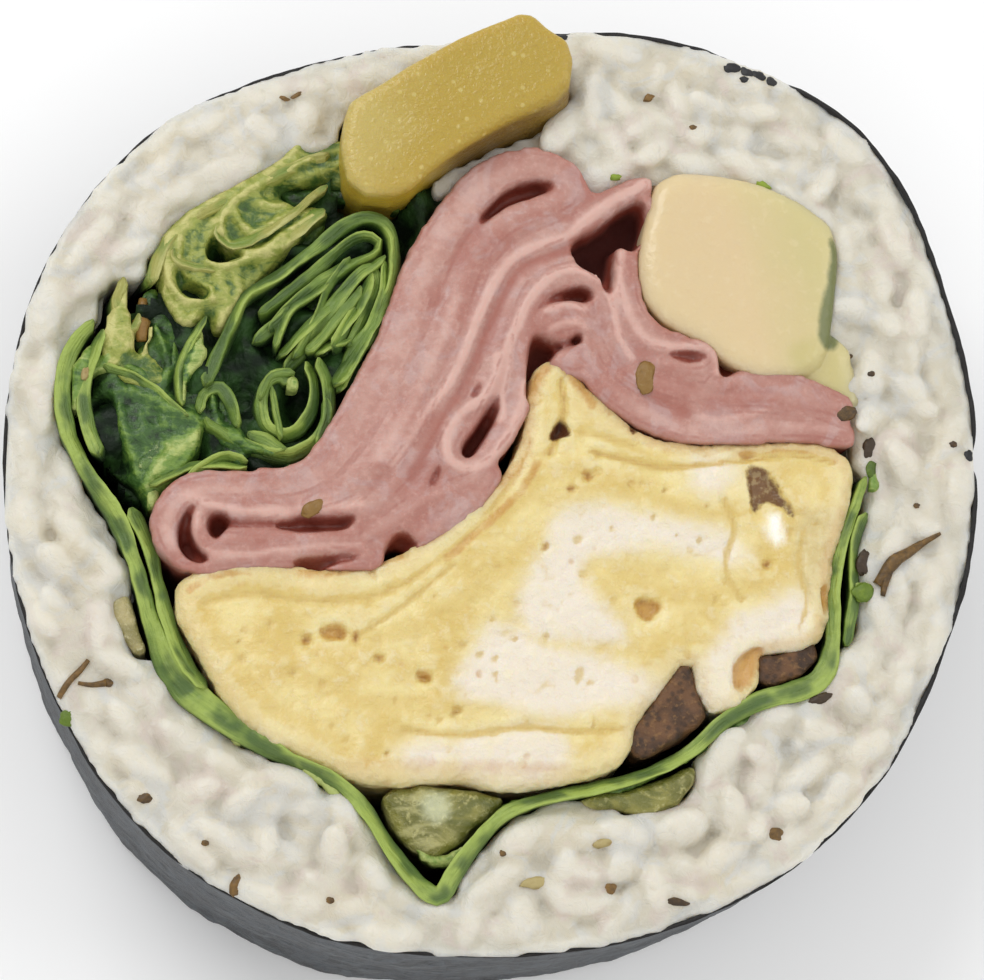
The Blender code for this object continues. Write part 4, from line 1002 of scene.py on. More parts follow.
def makeMass(name):
    look = massSettings[name]
    outline = outlineOf(look["outline"], 0.4, 1.0)
    xs, ys, grid = gridOver(outline, look["grid"], 77.0)
    inside = depthInside(grid, outline)
    ridge, pit = np.zeros(len(grid)), np.zeros(len(grid))
    for half, height, pixels in look["ridges"]:
        ridge = np.maximum(ridge, height * nearLine(grid, lineOf(pixels, 0.6, 0.5), half, 1.6))
    for depth, pixels in look["pits"]:
        pit = np.maximum(pit, depth * step(depthInside(grid, outlineOf(pixels, 0.3, 1.0)), -0.25, 0.35))
    lumps = rough(grid, 2.6, 71) + 0.5 * rough(grid, 1.1, 72) + 0.35 * rough(grid, 0.6, 73)
    lift = ridge - pit + look["uneven"] * lumps - 0.9 * (1 - np.clip(inside / look["edge"], 0, 1)) ** 2
    block = plateMesh(name + "Block", xs, ys, inside > 0, look["top"] + lift,
                      (look["foot"] - lift).clip(0.1, 9))
    piece = addPiece(name, remeshed(block, look))
    table = toTable(readPoints(piece.data))
    low = np.minimum(look["top"] - table[:, 2], table[:, 2] - look["foot"])
    right = np.clip((table[:, 0] - xs[0]) / (np.ptp(outline[:, 0]) + 1), 0, 1)
    # tint: lighter on the ridges and darker lower down, painted light and shade, and darker towards the right
    tint = (look["tint"] + 0.25 * sampled(ridge, xs, ys, table) - 0.1 * low.clip(-0.5, 1.2)
            - 0.22 * low.clip(1.2, 4) - look["darker"] * step(right, 0.6, 1))
    for amount, pixels in look["lights"]:
        tint += amount * step(depthInside(table, outlineOf(pixels, 0.3, 0.5)), -0.4, 0.6)
    addValues(piece, tint=tint, inset=np.ones(len(table)), hollow=hollows(piece.data, 12))
    return piece


def facePaint(name, slot):
    paint = Paint(name)
    at = paint.place()
    tint, inset, hollow = paint.attributes("tint", "inset", "hollow")
    broad = paint.lumps(at, 1.8, 3.0, 0.6)
    fine = paint.lumps(at, 0.45, 3.0, 0.6)
    veins = paint.cells(at, 1.3)
    streak = paint.lumps(paint.stretched(at, (0.6, 1.2, 0.5)), 1.1, 3.0, 0.65, 1.6)
    # hollow darkens the crevices, painted shade
    level = (tint + (broad - 0.5) * 0.7 + (fine - 0.5) * 0.35 + (streak - 0.5) - hollow * 0.9
             + inset.ramp(0.5, 0.0) * 0.22 + veins.ramp(0.35, 0.6) * 0.07 * tint)
    dark, green, light, pale = faceSettings[slot]
    colour = paint.coats(dark, (level.ramp(0.0, 0.38), green), (level.ramp(0.34, 0.72), light),
                         (level.ramp(0.68, 1.05), pale))
    normal = paint.bump(veins * -1.0, 0.25)
    return paint.finish(colour, 0.34 + fine * 0.2, paint.bump(fine, 0.16, normal))


for name, slot, table, mass in (("leafFaces", "leaf", leafFaces, "leafMass"),
                                ("lettuceFaces", "lettuce", lettuceFaces, "lettuceMass")):
    piece = joinPieces(name, slot, makeFaces(name + "Plates", table), makeMass(mass))
    finishPiece(piece, facePaint(name, slot))


def wallDistance(node, points):  # millimetres from each point to the solid's upright walls
    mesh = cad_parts[node].data
    walls = [tuple(face.vertices) for face in mesh.polygons if abs(face.normal.z) < 0.6]
    tree = BVHTree.FromPolygons([v.co.copy() for v in mesh.vertices], walls)
    return np.array([tree.find_nearest(Vector(p))[3] for p in points]) * 1000


def pressIn(points, pits):  # small hollows in the cut faces, as x, y, radius and depth
    table = toTable(points)
    side = np.where(table[:, 2] > thickness - 3, -1, np.where(table[:, 2] < 3, 1, 0))
    for x, y, radius, depth in pits:
        away = np.hypot(table[:, 0] - x, table[:, 1] - y)
        points[:, 2] += side * depth * np.exp(-(away / radius) ** 2) / 1000
    return points


# The egg roll. Its whites and patches are outlines in pixels of the photograph.
eggSettings = {
    "voxel": 0.24, "smooth": 3, "swell": 0.1, "widen": 0.42, "uneven": 0.24,
    "whites": (
        ((552, 524), (575, 512), (610, 510), (650, 520), (690, 527), (720, 535), (740, 548), (735, 562),
            (700, 556), (660, 547), (620, 548), (590, 552), (577, 566), (580, 585), (592, 602), (608, 618),
            (622, 634), (600, 640), (570, 636), (545, 640), (525, 618), (527, 590), (540, 565), (550, 545)),
        ((478, 650), (492, 628), (515, 632), (545, 648), (580, 655), (620, 668), (655, 685), (652, 698),
            (610, 706), (560, 712), (520, 708), (485, 700), (462, 688)),
        ((404, 752), (425, 741), (448, 748), (444, 765), (424, 772), (405, 765)),
        ((458, 746), (500, 733), (548, 732), (566, 748), (558, 774), (520, 782), (480, 778), (460, 765)),
        ((739, 615), (767, 608), (800, 596), (812, 632), (793, 654), (772, 652), (750, 646), (741, 663),
            (728, 702), (702, 708), (696, 691), (707, 659), (728, 637)),
        ((692, 466), (714, 460), (734, 468), (730, 484), (710, 492), (694, 484)),
    ),
    # patches: how far sunken, then pixels
    "patches": {
        "brown": (0.45, (((746, 470), (757, 466), (770, 474), (782, 492), (795, 518), (780, 508),
            (764, 503), (753, 514), (748, 492)),)),
        "orange": (0.55, (((634, 602), (646, 598), (660, 603), (660, 611), (648, 622), (638, 616)),
            ((301, 636), (310, 635), (311, 644), (302, 645)), ((320, 628), (334, 623), (347, 628),
            (347, 638), (332, 641), (321, 637)), ((353, 631), (360, 634), (357, 645), (352, 642)),
            ((374, 655), (385, 655), (383, 662), (375, 662)), ((417, 671), (431, 674), (430, 683),
            (418, 681)), ((541, 546), (547, 543), (549, 549), (543, 551)), ((733, 663), (748, 650),
            (765, 650), (761, 673), (748, 690), (734, 688)), ((452, 708), (462, 708), (461, 714),
            (453, 713)), ((822, 590), (830, 584), (834, 604), (826, 614)), ((738, 452), (752, 449),
            (756, 455), (744, 459)), ((581, 474), (588, 471), (593, 478), (587, 483)), ((566, 488),
            (573, 486), (575, 491), (569, 493)), ((762, 562), (770, 560), (770, 568), (763, 569)))),
        "dark": (0.7, (((549, 439), (560, 420), (570, 435), (561, 438)), ((631, 424), (637, 430), (632, 432)))),
        "tan": (0.0, (((800, 515), (835, 505), (846, 530), (840, 570), (832, 610), (820, 652), (804, 645),
            (812, 610), (800, 580), (794, 545)),)),
        # a painted highlight: a bright spot that is also slightly raised
        "shine": (-0.15, (((770, 546), (764, 530), (768, 514), (778, 512), (782, 524), (784, 538), (778, 548)),)),
    },
    # half width and pixels of the browned skin along the ham
    "seams": (
        (0.5, ((424, 542), (452, 520), (488, 490), (516, 468))),
        (0.4, ((526, 442), (530, 410), (535, 382), (548, 367))),
        (0.5, ((566, 370), (580, 386), (592, 405))),
        (0.4, ((300, 574), (330, 573), (365, 565), (400, 555))),
        (0.3, ((188, 592), (210, 578), (252, 572))),
        (0.35, ((446, 560), (480, 530), (520, 492), (542, 452))),
    ),
    "yellow": (230, 213, 152), "deep": (214, 188, 112), "white": (231, 221, 203),
    "skin": (192, 140, 62), "brown": (108, 68, 30), "cream": (229, 217, 178), "hole": (92, 50, 24),
    # the last colour below is for the painted highlight
    "tan": (206, 188, 138), "shine": (254, 252, 246),
    # creases as lines on the face, each with its depth and half width
    "creases": (
        (0.3, 0.28, ((6.2, 2.6), (8, 2.2), (11, 1.7), (13.5, 2.0), (16, 2.3), (19, 2.8), (21.6, 2.3))),
        (0.25, 0.3, ((-5.5, -15.1), (-2, -15.4), (2, -14.9), (5, -15.1), (8, -14.9))),
        (0.2, 0.25, ((-18, -7.6), (-15, -6.9), (-12, -7.2), (-9, -7.2), (-6, -6.4), (-3.2, -4.4),
            (-0.6, -2), (1.2, 0.6), (2.2, 3))),
        (0.22, 0.22, ((-8, -9.2), (-5.5, -7.4), (-2.5, -4.9))),
        (0.35, 0.25, ((4.3, 7.2), (4.5, 5.6), (4.3, 4.1), (3.6, 2.4))),
        (0.2, 0.25, ((4.4, 4.0), (6.5, 3.6), (9, 3.1))),
        (0.22, 0.3, ((14.6, -0.4), (15.2, -2.2), (14.6, -4.6), (15.6, -6.6))),
        (0.2, 0.25, ((19.6, -2.2), (19.3, -4.4), (19.8, -6.8), (19.2, -8.4))),
    ),
    "pores": 150, "poreSpans": ((-19, 22), (-18, 8), (0.14, 0.3), (0.12, 0.3)),  # x, y, radius and depth
    "crumbs": (0.14, -0.05), "layer": (2.4, 5.5), "seed": 5, "flesh": (0.5, (1.0, 0.75, 0.4), 2.0),
}


def eggPaint():
    paint = Paint("egg", eggSettings)
    at = paint.place()
    whites, edge, layers, crease, hollow = paint.attributes("whites", "edge", "layers", "crease", "hollow")
    brown, orange, dark, tan, shine, seam = paint.attributes("brown", "orange", "dark", "tan", "shine", "seam")
    broad = paint.lumps(at, 3.2, 3.0, 0.6)
    fine = paint.lumps(at, 0.8, 3.0, 0.65)
    grain = fine - 0.5
    pores = paint.cells(at, 1.5)
    speckle = paint.lumps(at, 0.5, 2.0, 0.6).ramp(0.48, 0.66)
    right, away, _ = paint.axes(at)
    soft = whites + 0.25 + (broad - 0.5) * 1.4 + grain * 0.7
    crease = crease + grain * 0.8
    browned = (brown + grain * 0.7).ramp(-0.12, 0.2)
    # painted highlight, where the surface is also made glossier
    shine = (shine + grain * 0.8).ramp(-0.4, 0.7) * 0.9
    colour = paint.coats(
        "yellow",
        (broad.ramp(0.32, 0.66), "deep"),
        (fine.ramp(0.5, 0.72) * 0.5, "cream"),
        ((1 - layers).ramp(0.3, 1.0) * 0.6, "deep"),
        (soft.ramp(-1.3, 0.3) * 0.6, "cream"),
        (soft.ramp(-0.6, 0.85), "white"),
        ((tan + (broad - 0.5) * 1.2).ramp(-0.5, 0.6) * 0.7, "tan"),
        (pores.ramp(0.24, 0.12) * broad.ramp(0.5, 0.62) * 0.5, "skin"),
        ((edge + grain * 0.7).ramp(0.75, 0.1) * (0.35 + 0.4 * (away + 0.4 * right).ramp(-8.0, 2.0)), "skin"),
        (crease.ramp(0.25, 0.8) * 0.8, "deep"),
        (crease.ramp(0.6, 1.0) * 0.7, "skin"),
        # painted shade in the hollows and painted light on the bumps
        (hollow.ramp(0.02, 0.12) * 0.6, "deep"),
        (hollow.ramp(-0.02, -0.1) * 0.35, "cream"),
        ((orange + grain * 0.6).ramp(-0.12, 0.3) * 0.8, "skin"),
        ((seam + grain * 0.9).ramp(0.35, 0.9) * broad.ramp(0.3, 0.6) * 0.7, "skin"),
        (browned * 0.95, "brown"),
        (browned * speckle * 0.3, "tan"),
        ((dark + grain * 0.4).ramp(-0.15, 0.1), "hole"),
        (shine, "shine"))
    height = pores.ramp(0.0, 0.35) * 0.4 + fine * 0.9 + broad * 0.6
    return paint.finish(colour, (0.3 + fine * 0.22) * (1 - shine * 0.6), paint.bump(height, 0.22),
                        eggSettings["flesh"])


def crumbled(points, normals, look):  # creases and small pores in both cut faces
    table = toTable(points)
    crease = np.zeros(len(points))
    for depth, half, line in look["creases"]:
        line = smoothPath([(*point, 0.0) for point in line], 0.5)
        crease = np.maximum(crease, depth * nearLine(table, line, half))
    face = np.clip(np.abs(normals[:, 2]) * 2 - 0.8, 0, 1)
    chance = random.Random(look["seed"])
    pores = [[chance.uniform(*span) for span in look["poreSpans"]] for _ in range(look["pores"])]
    return pressIn(pushed(points, normals, -crease * face), pores), crease


def makeEgg():
    look = eggSettings
    egg = solidCopy("eggRoll", "egg_roll", look)
    points, normals = readSurface(egg.data)
    lumps = rough(points * 1000, 4.0, 3) + 0.6 * rough(points * 1000, 1.5, 5)
    points = pushed(points, normals, look["uneven"] * lumps)
    points = pushed(points, normals * (1, 1, 0), look["widen"])
    crumbs = np.abs(rough(points * 1000, 0.9, 15)) + 0.6 * np.abs(rough(points * 1000, 0.5, 16))
    share, sunk = look["crumbs"]
    points, crease = crumbled(pushed(points, normals, share * crumbs + sunk), normals, look)
    table = toTable(points)
    spots = {}
    for kind, (sunken, areas) in look["patches"].items():
        spots[kind] = np.max([depthInside(table, outlineOf(area, 0.3)) for area in areas], axis=0)
        sunk = step(spots[kind], -0.2, 0.3) * sunken
        points = pushed(points, normals, -sunk * np.abs(normals[:, 2]))
    spots["whites"] = np.max([depthInside(table, outlineOf(area, 0.5)) for area in look["whites"]], axis=0)
    seam = np.zeros(len(points))
    for half, pixels in look["seams"]:
        seam = np.maximum(seam, nearLine(table, lineOf(pixels, 0.5), half))
    writePoints(egg.data, points)
    edge = wallDistance("egg_roll", points)
    often, deepest = look["layer"]
    addValues(egg, seam=seam, edge=edge, layers=np.where(edge < deepest, 0.5 + 0.5 * np.cos(edge * often), 1),
              crease=crease * 3, hollow=hollows(egg.data, 10),
              **{kind: np.clip(values, -6, 6) for kind, values in spots.items()})
    finishPiece(egg, eggPaint(), "egg_roll")


makeEgg()

vegetableSettings = {
    "cucumber": {
        "voxel": 0.28, "smooth": 4, "swell": 0.12, "uneven": 0.12, "sink": 0.15, "widen": 0.4,
        "flesh": (216, 194, 152), "green": (204, 192, 140), "skin": (84, 98, 46), "wet": (196, 184, 126),
        "pale": (226, 210, 172), "inner": (0.5, (1.0, 0.9, 0.6), 3.0),
        "bulge": (0.5, 17.5, 20.5),  # more to the right, from x to x
        # pixels of the dark skin and of the wet lower corner, and that corner's heights
        "strip": ((828, 240), (836, 244), (842, 270), (842, 310), (838, 344), (826, 350), (817, 338),
            (819, 312), (826, 282), (829, 256)),
        "corner": ((790, 352), (806, 340), (822, 338), (836, 350), (842, 374), (847, 402), (832, 404),
            (814, 392), (798, 374)),
        "block": (2.0, 20.1), "grid": 0.25},
    "radish": {
        "voxel": 0.24, "smooth": 3, "swell": 0.0, "uneven": 0.10, "top": 22.2,
        # the third and fourth colours paint the side walls below the top: painted shade, lighter towards the left
        # end
        "gold": (176, 150, 60), "pale": (188, 168, 92), "shadedSide": (112, 80, 36), "bright": (188, 158, 42),
        "specks": (204, 188, 118), "grain": (160, 130, 44), "inner": (0.35, (1.0, 0.7, 0.15), 2.0)},
}


def cucumberPaint():
    look = vegetableSettings["cucumber"]
    paint = Paint("cucumber", look)
    at = paint.place()
    skin, right, corner = paint.attributes("skin", "right", "corner")
    broad = paint.lumps(at, 5.0, 2.0)
    fine = paint.lumps(at, 0.6, 3.0)
    colour = paint.coats(
        "flesh",
        ((right + (broad - 0.5) * 0.8).ramp(0.1, 1.0), "green"),
        (fine.ramp(0.55, 0.75) * 0.25, "pale"),
        ((corner + (broad - 0.5)).ramp(-0.5, 0.6) * 0.7, "wet"),
        ((skin + (fine - 0.5) * 0.35).ramp(-0.25, 0.2) * 0.85, "skin"))
    return paint.finish(colour, 0.26 + fine * 0.12, paint.bump(fine, 0.10), look["inner"])


def makeCucumber():
    look = vegetableSettings["cucumber"]
    corner = outlineOf(look["corner"], 0.4)
    xs, ys, grid = gridOver(corner, look["grid"])
    foot, top = (np.full(len(grid), height) for height in look["block"])
    block = plateMesh("corner", xs, ys, depthInside(grid, corner) > 0, top, foot)
    piece = solidCopy("cucumberBaton", "cucumber", look, [block])
    points, normals = readSurface(piece.data)
    points = pushed(points, normals, look["uneven"] * rough(points * 1000, 5.0, 9))
    points = pushed(points, normals * (1, 1, 0), look["widen"])
    points[:, 2] -= look["sink"] / 1000 * (points[:, 2] > 0.018)
    more, low, high = look["bulge"]
    points[:, 0] += more / 1000 * step(points[:, 0] * 1000, low, high)
    writePoints(piece.data, points)
    table = toTable(points)
    addValues(piece, skin=depthInside(table, outlineOf(look["strip"], 0.4)).clip(-3, 3),
              corner=depthInside(table, corner).clip(-3, 3),
              right=(table[:, 0] - 15) / 6 + (table[:, 1] - 14) / 20)
    finishPiece(piece, cucumberPaint(), "cucumber")


makeCucumber()


def radishPaint():
    look = vegetableSettings["radish"]
    paint = Paint("pickledRadish", look)
    at = paint.place()
    left, side = paint.attributes("left", "side")
    broad = paint.lumps(at, 3.5, 2.0)
    fine = paint.lumps(at, 0.35, 2.0, 0.6)
    specks = paint.cells(at, 0.9)
    colour = paint.coats(
        "gold",
        ((left + (broad - 0.5)).ramp(0.1, 1.0), "pale"),
        (specks.ramp(0.22, 0.1) * 0.6, "specks"),
        (fine.ramp(0.55, 0.8) * 0.35, "grain"),
        # painted shade on the side walls, lighter towards the left end
        (side.ramp(0.2, 0.9) * 0.8, paint.coats("shadedSide", (left.ramp(-0.2, 0.3), "bright"))))
    return paint.finish(colour, 0.22 + fine * 0.2, paint.bump(fine + specks * 0.3, 0.12), look["inner"])


def makeRadish():
    look = vegetableSettings["radish"]
    piece = solidCopy("pickledRadish", "pickled_radish", look)
    points, normals = readSurface(piece.data)
    points = pushed(points, normals, look["uneven"] * rough(points * 1000, 3.0, 13))
    writePoints(piece.data, points)
    table = toTable(points)
    upright = 1 - np.abs(normals[:, 2])
    # side marks the upright walls below the top, which get painted shade
    addValues(piece, left=(-table[:, 0] - 3) / 6,
              side=upright * np.clip((look["top"] - table[:, 2]) / 1.2, 0, 1))
    finishPiece(piece, radishPaint(), "pickled_radish")


makeRadish()

# Small fillings: slot, nodes, voxel, smoothing, unevenness, then three colours
smallSettings = {
    "burdockPieces": ("burdock", ("burdock_wedge", "burdock_sliver"), 0.2, 3, 0.22, (104, 70, 40),
        (62, 40, 22), (138, 102, 60)),
    "pickleSlices": ("pickle", ("pickle_slice_1", "pickle_slice_2"), 0.22, 4, 0.2, (138, 134, 66),
        (104, 104, 42), (196, 190, 132)),
    "radishSliver": ("radish_sliver", ("radish_sliver",), 0.2, 3, 0.12, (176, 164, 116), (140, 132, 84),
        (212, 204, 164)),
    "leafStem": ("leaf", ("leaf_stem",), 0.2, 4, 0.45, (98, 128, 58), (66, 96, 42), (184, 194, 132)),
}
pickleLook = {"centre": ((424, 800), (434, 792), (446, 798), (448, 812), (438, 820), (426, 814)),
              "olive": (86, 92, 34), "milky": (212, 214, 176)}
burdockHole = (38, 24, 16)


def smallPaint(name, main, second, third):
    wet = name != "burdockPieces"
    paint = Paint(name, pickleLook)
    at = paint.place()
    broad = paint.lumps(at, 1.8, 2.0)
    fine = paint.lumps(at, 0.4, 3.0, 0.6)
    colour = paint.coats(main, (broad.ramp(0.38, 0.64), second), (fine.ramp(0.52, 0.72) * 0.6, third))
    if name == "pickleSlices":
        swirl = paint.lumps(paint.stretched(at, (0.7, 1.3, 1.0)), 2.2, 3.0, 0.6, 1.2)
        centre, = paint.attributes("centre")
        colour = paint.coats(colour, (swirl.ramp(0.48, 0.7) * 0.55, third),
                             (swirl.ramp(0.47, 0.36) * 0.6, "olive"),
                             ((centre + (fine - 0.5) * 0.6).ramp(-0.6, 0.4) * 0.7, "milky"))
    if not wet:
        colour = paint.coats(colour, (paint.cells(at, 0.5).ramp(0.5, 0.15) * 0.6, burdockHole))
    return paint.finish(colour, (0.28 if wet else 0.5) + fine * 0.2, paint.bump(fine + broad * 0.5, 0.2),
                        (0.35 if wet else 0.05, (1.0, 0.9, 0.4), 1.5))


for name, (slot, nodes, voxel, smooth, uneven, *colours) in smallSettings.items():
    pieces = []
    for seed, node in enumerate(nodes):
        piece = solidCopy(name, node, {"voxel": voxel, "smooth": smooth, "swell": 0.12})
        points, normals = readSurface(piece.data)
        points = pushed(points, normals, uneven * rough(points * 1000, 1.3, len(name) + seed))
        writePoints(piece.data, points)
        centre = depthInside(toTable(points), outlineOf(pickleLook["centre"], 0.3))
        addValues(piece, centre=centre.clip(-3, 3))
        pieces.append(piece)
    finishPiece(joinPieces(name, slot, *pieces), smallPaint(name, *colours), *nodes)

# Behind the edges that show, crumpled leaf fills the hollow between the rice and the ham
leafHeart = {
    "outline": ((-10.6, 21), (-15, 18.9), (-19.3, 15.9), (-20.6, 13), (-23.4, 10.6), (-25.3, 6.5),
        (-24.9, 3.2), (-22.4, -0.8), (-20.9, -0.6), (-14, 0.9), (-11.4, 1.4), (-9.3, 4.4), (-7, 8.6),
        (-5.3, 13.6), (-3.4, 17.4), (-1.2, 20), (-2.5, 21.6), (-6, 18.6), (-8.9, 17.9)),
    "grid": 0.45, "top": 18.0, "foot": 2.4, "uneven": 1.3, "folds": 2.2, "lift": 0.9,
    # nearly black greens, painted shade for the gaps between the leaves
    "dark": (16, 30, 16), "green": (46, 76, 34),
}


def makeLeafHeart():
    look = leafHeart
    outline = smoothPath(look["outline"], 0.7, closed=True)
    low, high = outline.min(axis=0), outline.max(axis=0)
    xs, ys = (np.arange(low[k], high[k] + look["grid"], look["grid"]) for k in (0, 1))
    flat = gridPoints(xs, ys)
    folds = np.abs(rough(flat + (0, 0, 1), 3.4, 37))
    lift = look["uneven"] * (rough(flat, 2.2, 31) - look["folds"] * folds) + look["lift"]
    block = plateMesh("leafHeart", xs, ys, depthInside(flat, outline) > 0, look["top"] + lift,
                      look["foot"] - lift)
    faceOut(block)
    piece = addPiece("leafHeart", block)
    paint = Paint("leafHeart", look)
    at = paint.place()
    broad, fine = paint.lumps(at, 2.0, 2.0), paint.lumps(at, 0.5, 2.0)
    # painted shade: dark leaf in the gaps between the sheets
    colour = paint.coats("dark", (broad.ramp(0.4, 0.65), "green"))
    finishPiece(piece, paint.finish(colour, 0.5, paint.bump(fine, 0.2), **{"Specular IOR Level": 0.2}))


makeLeafHeart()

# The seaweed round the outside: one thin shell with a ragged upper edge
noriSettings = {
    "radius": 31, "inset": 0.1, "calm": (14, 19),  # the wrinkles calm down between these heights
    "step": 0.36, "levels": 38, "thickness": 0.27, "top": 19.25, "ragged": 0.3, "lift": (0.45, 15.0),
    "foot": 0.12, "wrinkle": 0.28, "notches": ((4.0, 2.2, 1.6), (-45.0, 7.0, 1.5), (58.0, 5.0, 1.0),
        (-20.0, 3.0, 0.7), (96.0, 3.0, 0.8), (-110.0, 3.0, 0.6)),  # bearing, half width, depth
    # the second and third colours are painted sheen, blue-grey and pale, over the dark seaweed
    "dark": (28, 30, 33), "blue": (64, 70, 76), "pale": (104, 110, 112), "edge": (20, 17, 16),
    "inner": (1.0, 0.97, 0.9, 0.75, 0.5, 0.25, 0.1, 0.0),  # heights of the points on the inner side
}


def makeNori():
    look = noriSettings
    around = round(math.tau * look["radius"] / look["step"])
    bearing = np.arange(around) / around * math.tau
    ring = np.column_stack([np.cos(bearing), np.sin(bearing), np.zeros(around)]) * look["radius"]
    edge = look["top"] + look["ragged"] * 0.6 * (rough(ring, 2.6, 3) + rough(ring + (0, 0, 1), 0.9, 4))
    height, middle = look["lift"]  # it stands highest at the right
    edge += height * np.maximum(np.cos(bearing - math.radians(middle)), -0.3)
    for middle, half, depth in look["notches"]:
        away = (np.degrees(bearing) - middle + 180) % 360 - 180
        edge -= depth * np.exp(-(away / half) ** 2)
    share = np.concatenate([np.linspace(0, 1, look["levels"]), look["inner"]])
    inset = np.where(np.arange(len(share)) < look["levels"], 0, look["thickness"])
    z = look["foot"] + (edge[:, None] - look["foot"]) * share
    flat = np.column_stack([np.repeat(ring[:, :2], len(share), axis=0), 0.6 * z.ravel()])
    wave = rough(flat, 4.0, 11) + 0.45 * rough(flat, 1.3, 12) + 0.2 * rough(flat, 0.6, 13)
    wave = wave.reshape(z.shape) * look["wrinkle"] * (1 - 0.65 * step(z, *look["calm"]))
    radius = rimRadius(bearing)[:, None] - inset + wave - look["inset"]
    x = sliceSettings["centre"][0] + radius * np.cos(bearing)[:, None]
    y = sliceSettings["centre"][1] + radius * np.sin(bearing)[:, None]
    nori = makePiece("seaweedSheet", toFrame(np.stack([x, y, z], axis=-1).reshape(-1, 3)),
                     loopFaces(around, len(share), ring=True), "nori", below=(edge[:, None] - z).ravel())
    faceOut(nori.data)
    finishPiece(nori, noriPaint(), "nori")


def noriPaint():
    paint = Paint("seaweed", noriSettings)
    at = paint.place()
    below, = paint.attributes("below")
    fibres = paint.lumps(paint.stretched(at, (1.0, 1.0, 0.35)), 0.7, 4.0, 0.7, 0.6)
    streaks = paint.lumps(paint.stretched(at, (0.45, 0.45, 1.8)), 1.3, 4.0, 0.7, 0.8)
    colour = paint.coats(
        "dark",
        # the seaweed's fibre pattern and horizontal streaks, painted in blue-grey and pale tones as a painted
        # sheen
        (fibres.ramp(0.4, 0.66), "blue"),
        (streaks.ramp(0.46, 0.7) * 0.5, "pale"),
        (paint.lumps(at, 5.0, 2.0).ramp(0.5, 0.7) * 0.4, "blue"),
        ((below + (fibres - 0.5) * 0.6).ramp(0.5, 0.05), "edge"))
    return paint.finish(colour, 0.46 + fibres * 0.2, paint.bump(fibres + streaks * 0.6, 0.22),
                        **{"Specular IOR Level": 0.45})


makeNori()

# The rice: a soft mass with grains pressed into both cut faces
riceSettings = {
    "voxel": 0.45, "smooth": 12, "swell": 0.12, "uneven": 0.25, "ceiling": 17.6, "inset": 0.8, "foot": 1.2,
    "span": 36, "cell": 0.3, "reach": 0.3, "toSeaweed": (0.34, 0.03, 125, 0.22), "toRight": 0.05,
    "behind": 0.8, "seen": 15.5, "bridge": 1.4, "border": 2.0,
    "face": {"voxel": 0.25, "smooth": 6}, "slab": 19.05, "slabFoot": 15.0, "rimRaise": 0.5,
    "length": (3.8, 5.8), "width": (1.9, 2.7), "flat": 0.75, "bend": 0.16, "segments": 10, "rings": 8,
    "seed": 23, "lumps": 0.16,
    "right": (-34, 34), "away": (-32, 36), "lift": 0.18, "clear": 0.8, "follow": 2.4,
    "tip": 0.36, "tipClear": 0.6,
    "layers": ((18.75, 1.7, 12000, 0.35), (19.1, 1.9, 12000, 0.25)),  # height, spacing, tries, tilt
    "mid": (209, 203, 186), "light": (222, 217, 204), "shade": (194, 187, 170), "warm": (208, 196, 166),
    "grey": (204, 204, 200), "rosy": (208, 194, 184), "deep": (172, 164, 142),
    "flesh": (0.6, (1.0, 0.85, 0.65), 2.5),
}


def makeRiceCore():
    look = riceSettings
    core = solidCopy("riceMass", "rice", look)
    points, normals = readSurface(core.data)
    lumps = rough(points * 1000, 3.0, 41) + 0.5 * rough(points * 1000, 1.5, 42)
    points = pushed(points, normals, look["uneven"] * lumps)
    foot = (look["foot"] + look["uneven"] * rough(points * 1000, 2.0, 43)) / 1000
    points[:, 2] = np.clip(points[:, 2], foot, look["ceiling"] / 1000)
    points = toFrame(keepInside(toTable(points), look["inset"]))
    writePoints(core.data, points)
    # a small fixed hollow makes the core a little darker where it shows between the grains, painted shade
    addValues(core, tint=rough(points * 1000, 2.6, 44) * 0.5 + 0.5, hollow=np.full(len(points), 0.05))
    return core


def topAt(tree, x, y):  # height of the surface, in millimetres, at a point of the frame
    hit = tree.ray_cast(Vector((x, y, 1.5 * thickness / 1000)), Vector((0, 0, -1)))[0]
    return hit.z * 1000 if hit else None


def riceField(core):  # distance into the rice from its edges over the cut face, below 0 outside
    look = riceSettings
    tree = BVHTree.FromObject(core, bpy.context.evaluated_depsgraph_get())
    steps = np.arange(-look["span"], look["span"], look["cell"])
    grid = gridPoints(steps, steps, thickness)
    rice = np.array([(topAt(tree, x, y) or 0) > look["seen"] for x, y, _ in toFrame(grid)])
    toEmpty, toRice = finderOf(grid[~rice]), finderOf(grid[rice])
    values = np.array([toEmpty.find(point)[2] if full else -toRice.find(point)[2]
                       for point, full in zip(grid, rice)])
    toRim = rimDistance(grid)
    spread = (values > -look["bridge"]) & (toRim < look["border"])
    # the gap to the seaweed is smallest at the upper left, where the rice hides the seaweed's edge
    middle, change, least, ragged = look["toSeaweed"]
    bearing = np.arctan2(grid[:, 1], grid[:, 0])
    middle = middle + look["toRight"] * np.maximum(np.cos(bearing - math.radians(noriSettings["lift"][1])), 0)
    reach = middle - change * np.cos(bearing - math.radians(least)) + ragged * rough(grid, 1.8, 81)
    values = np.where(spread, np.maximum(values, np.minimum(toRim - reach, 1.2)), values)
    return values.reshape(len(steps), len(steps)), steps


def fieldAt(field, x, y):
    values, steps = field
    row, column = (min(max(int(round((value - steps[0]) / riceSettings["cell"])), 1), len(steps) - 2)
                   for value in (y, x))
    slope = (values[row, column + 1] - values[row, column - 1],
             values[row + 1, column] - values[row - 1, column])
    return values[row, column], slope


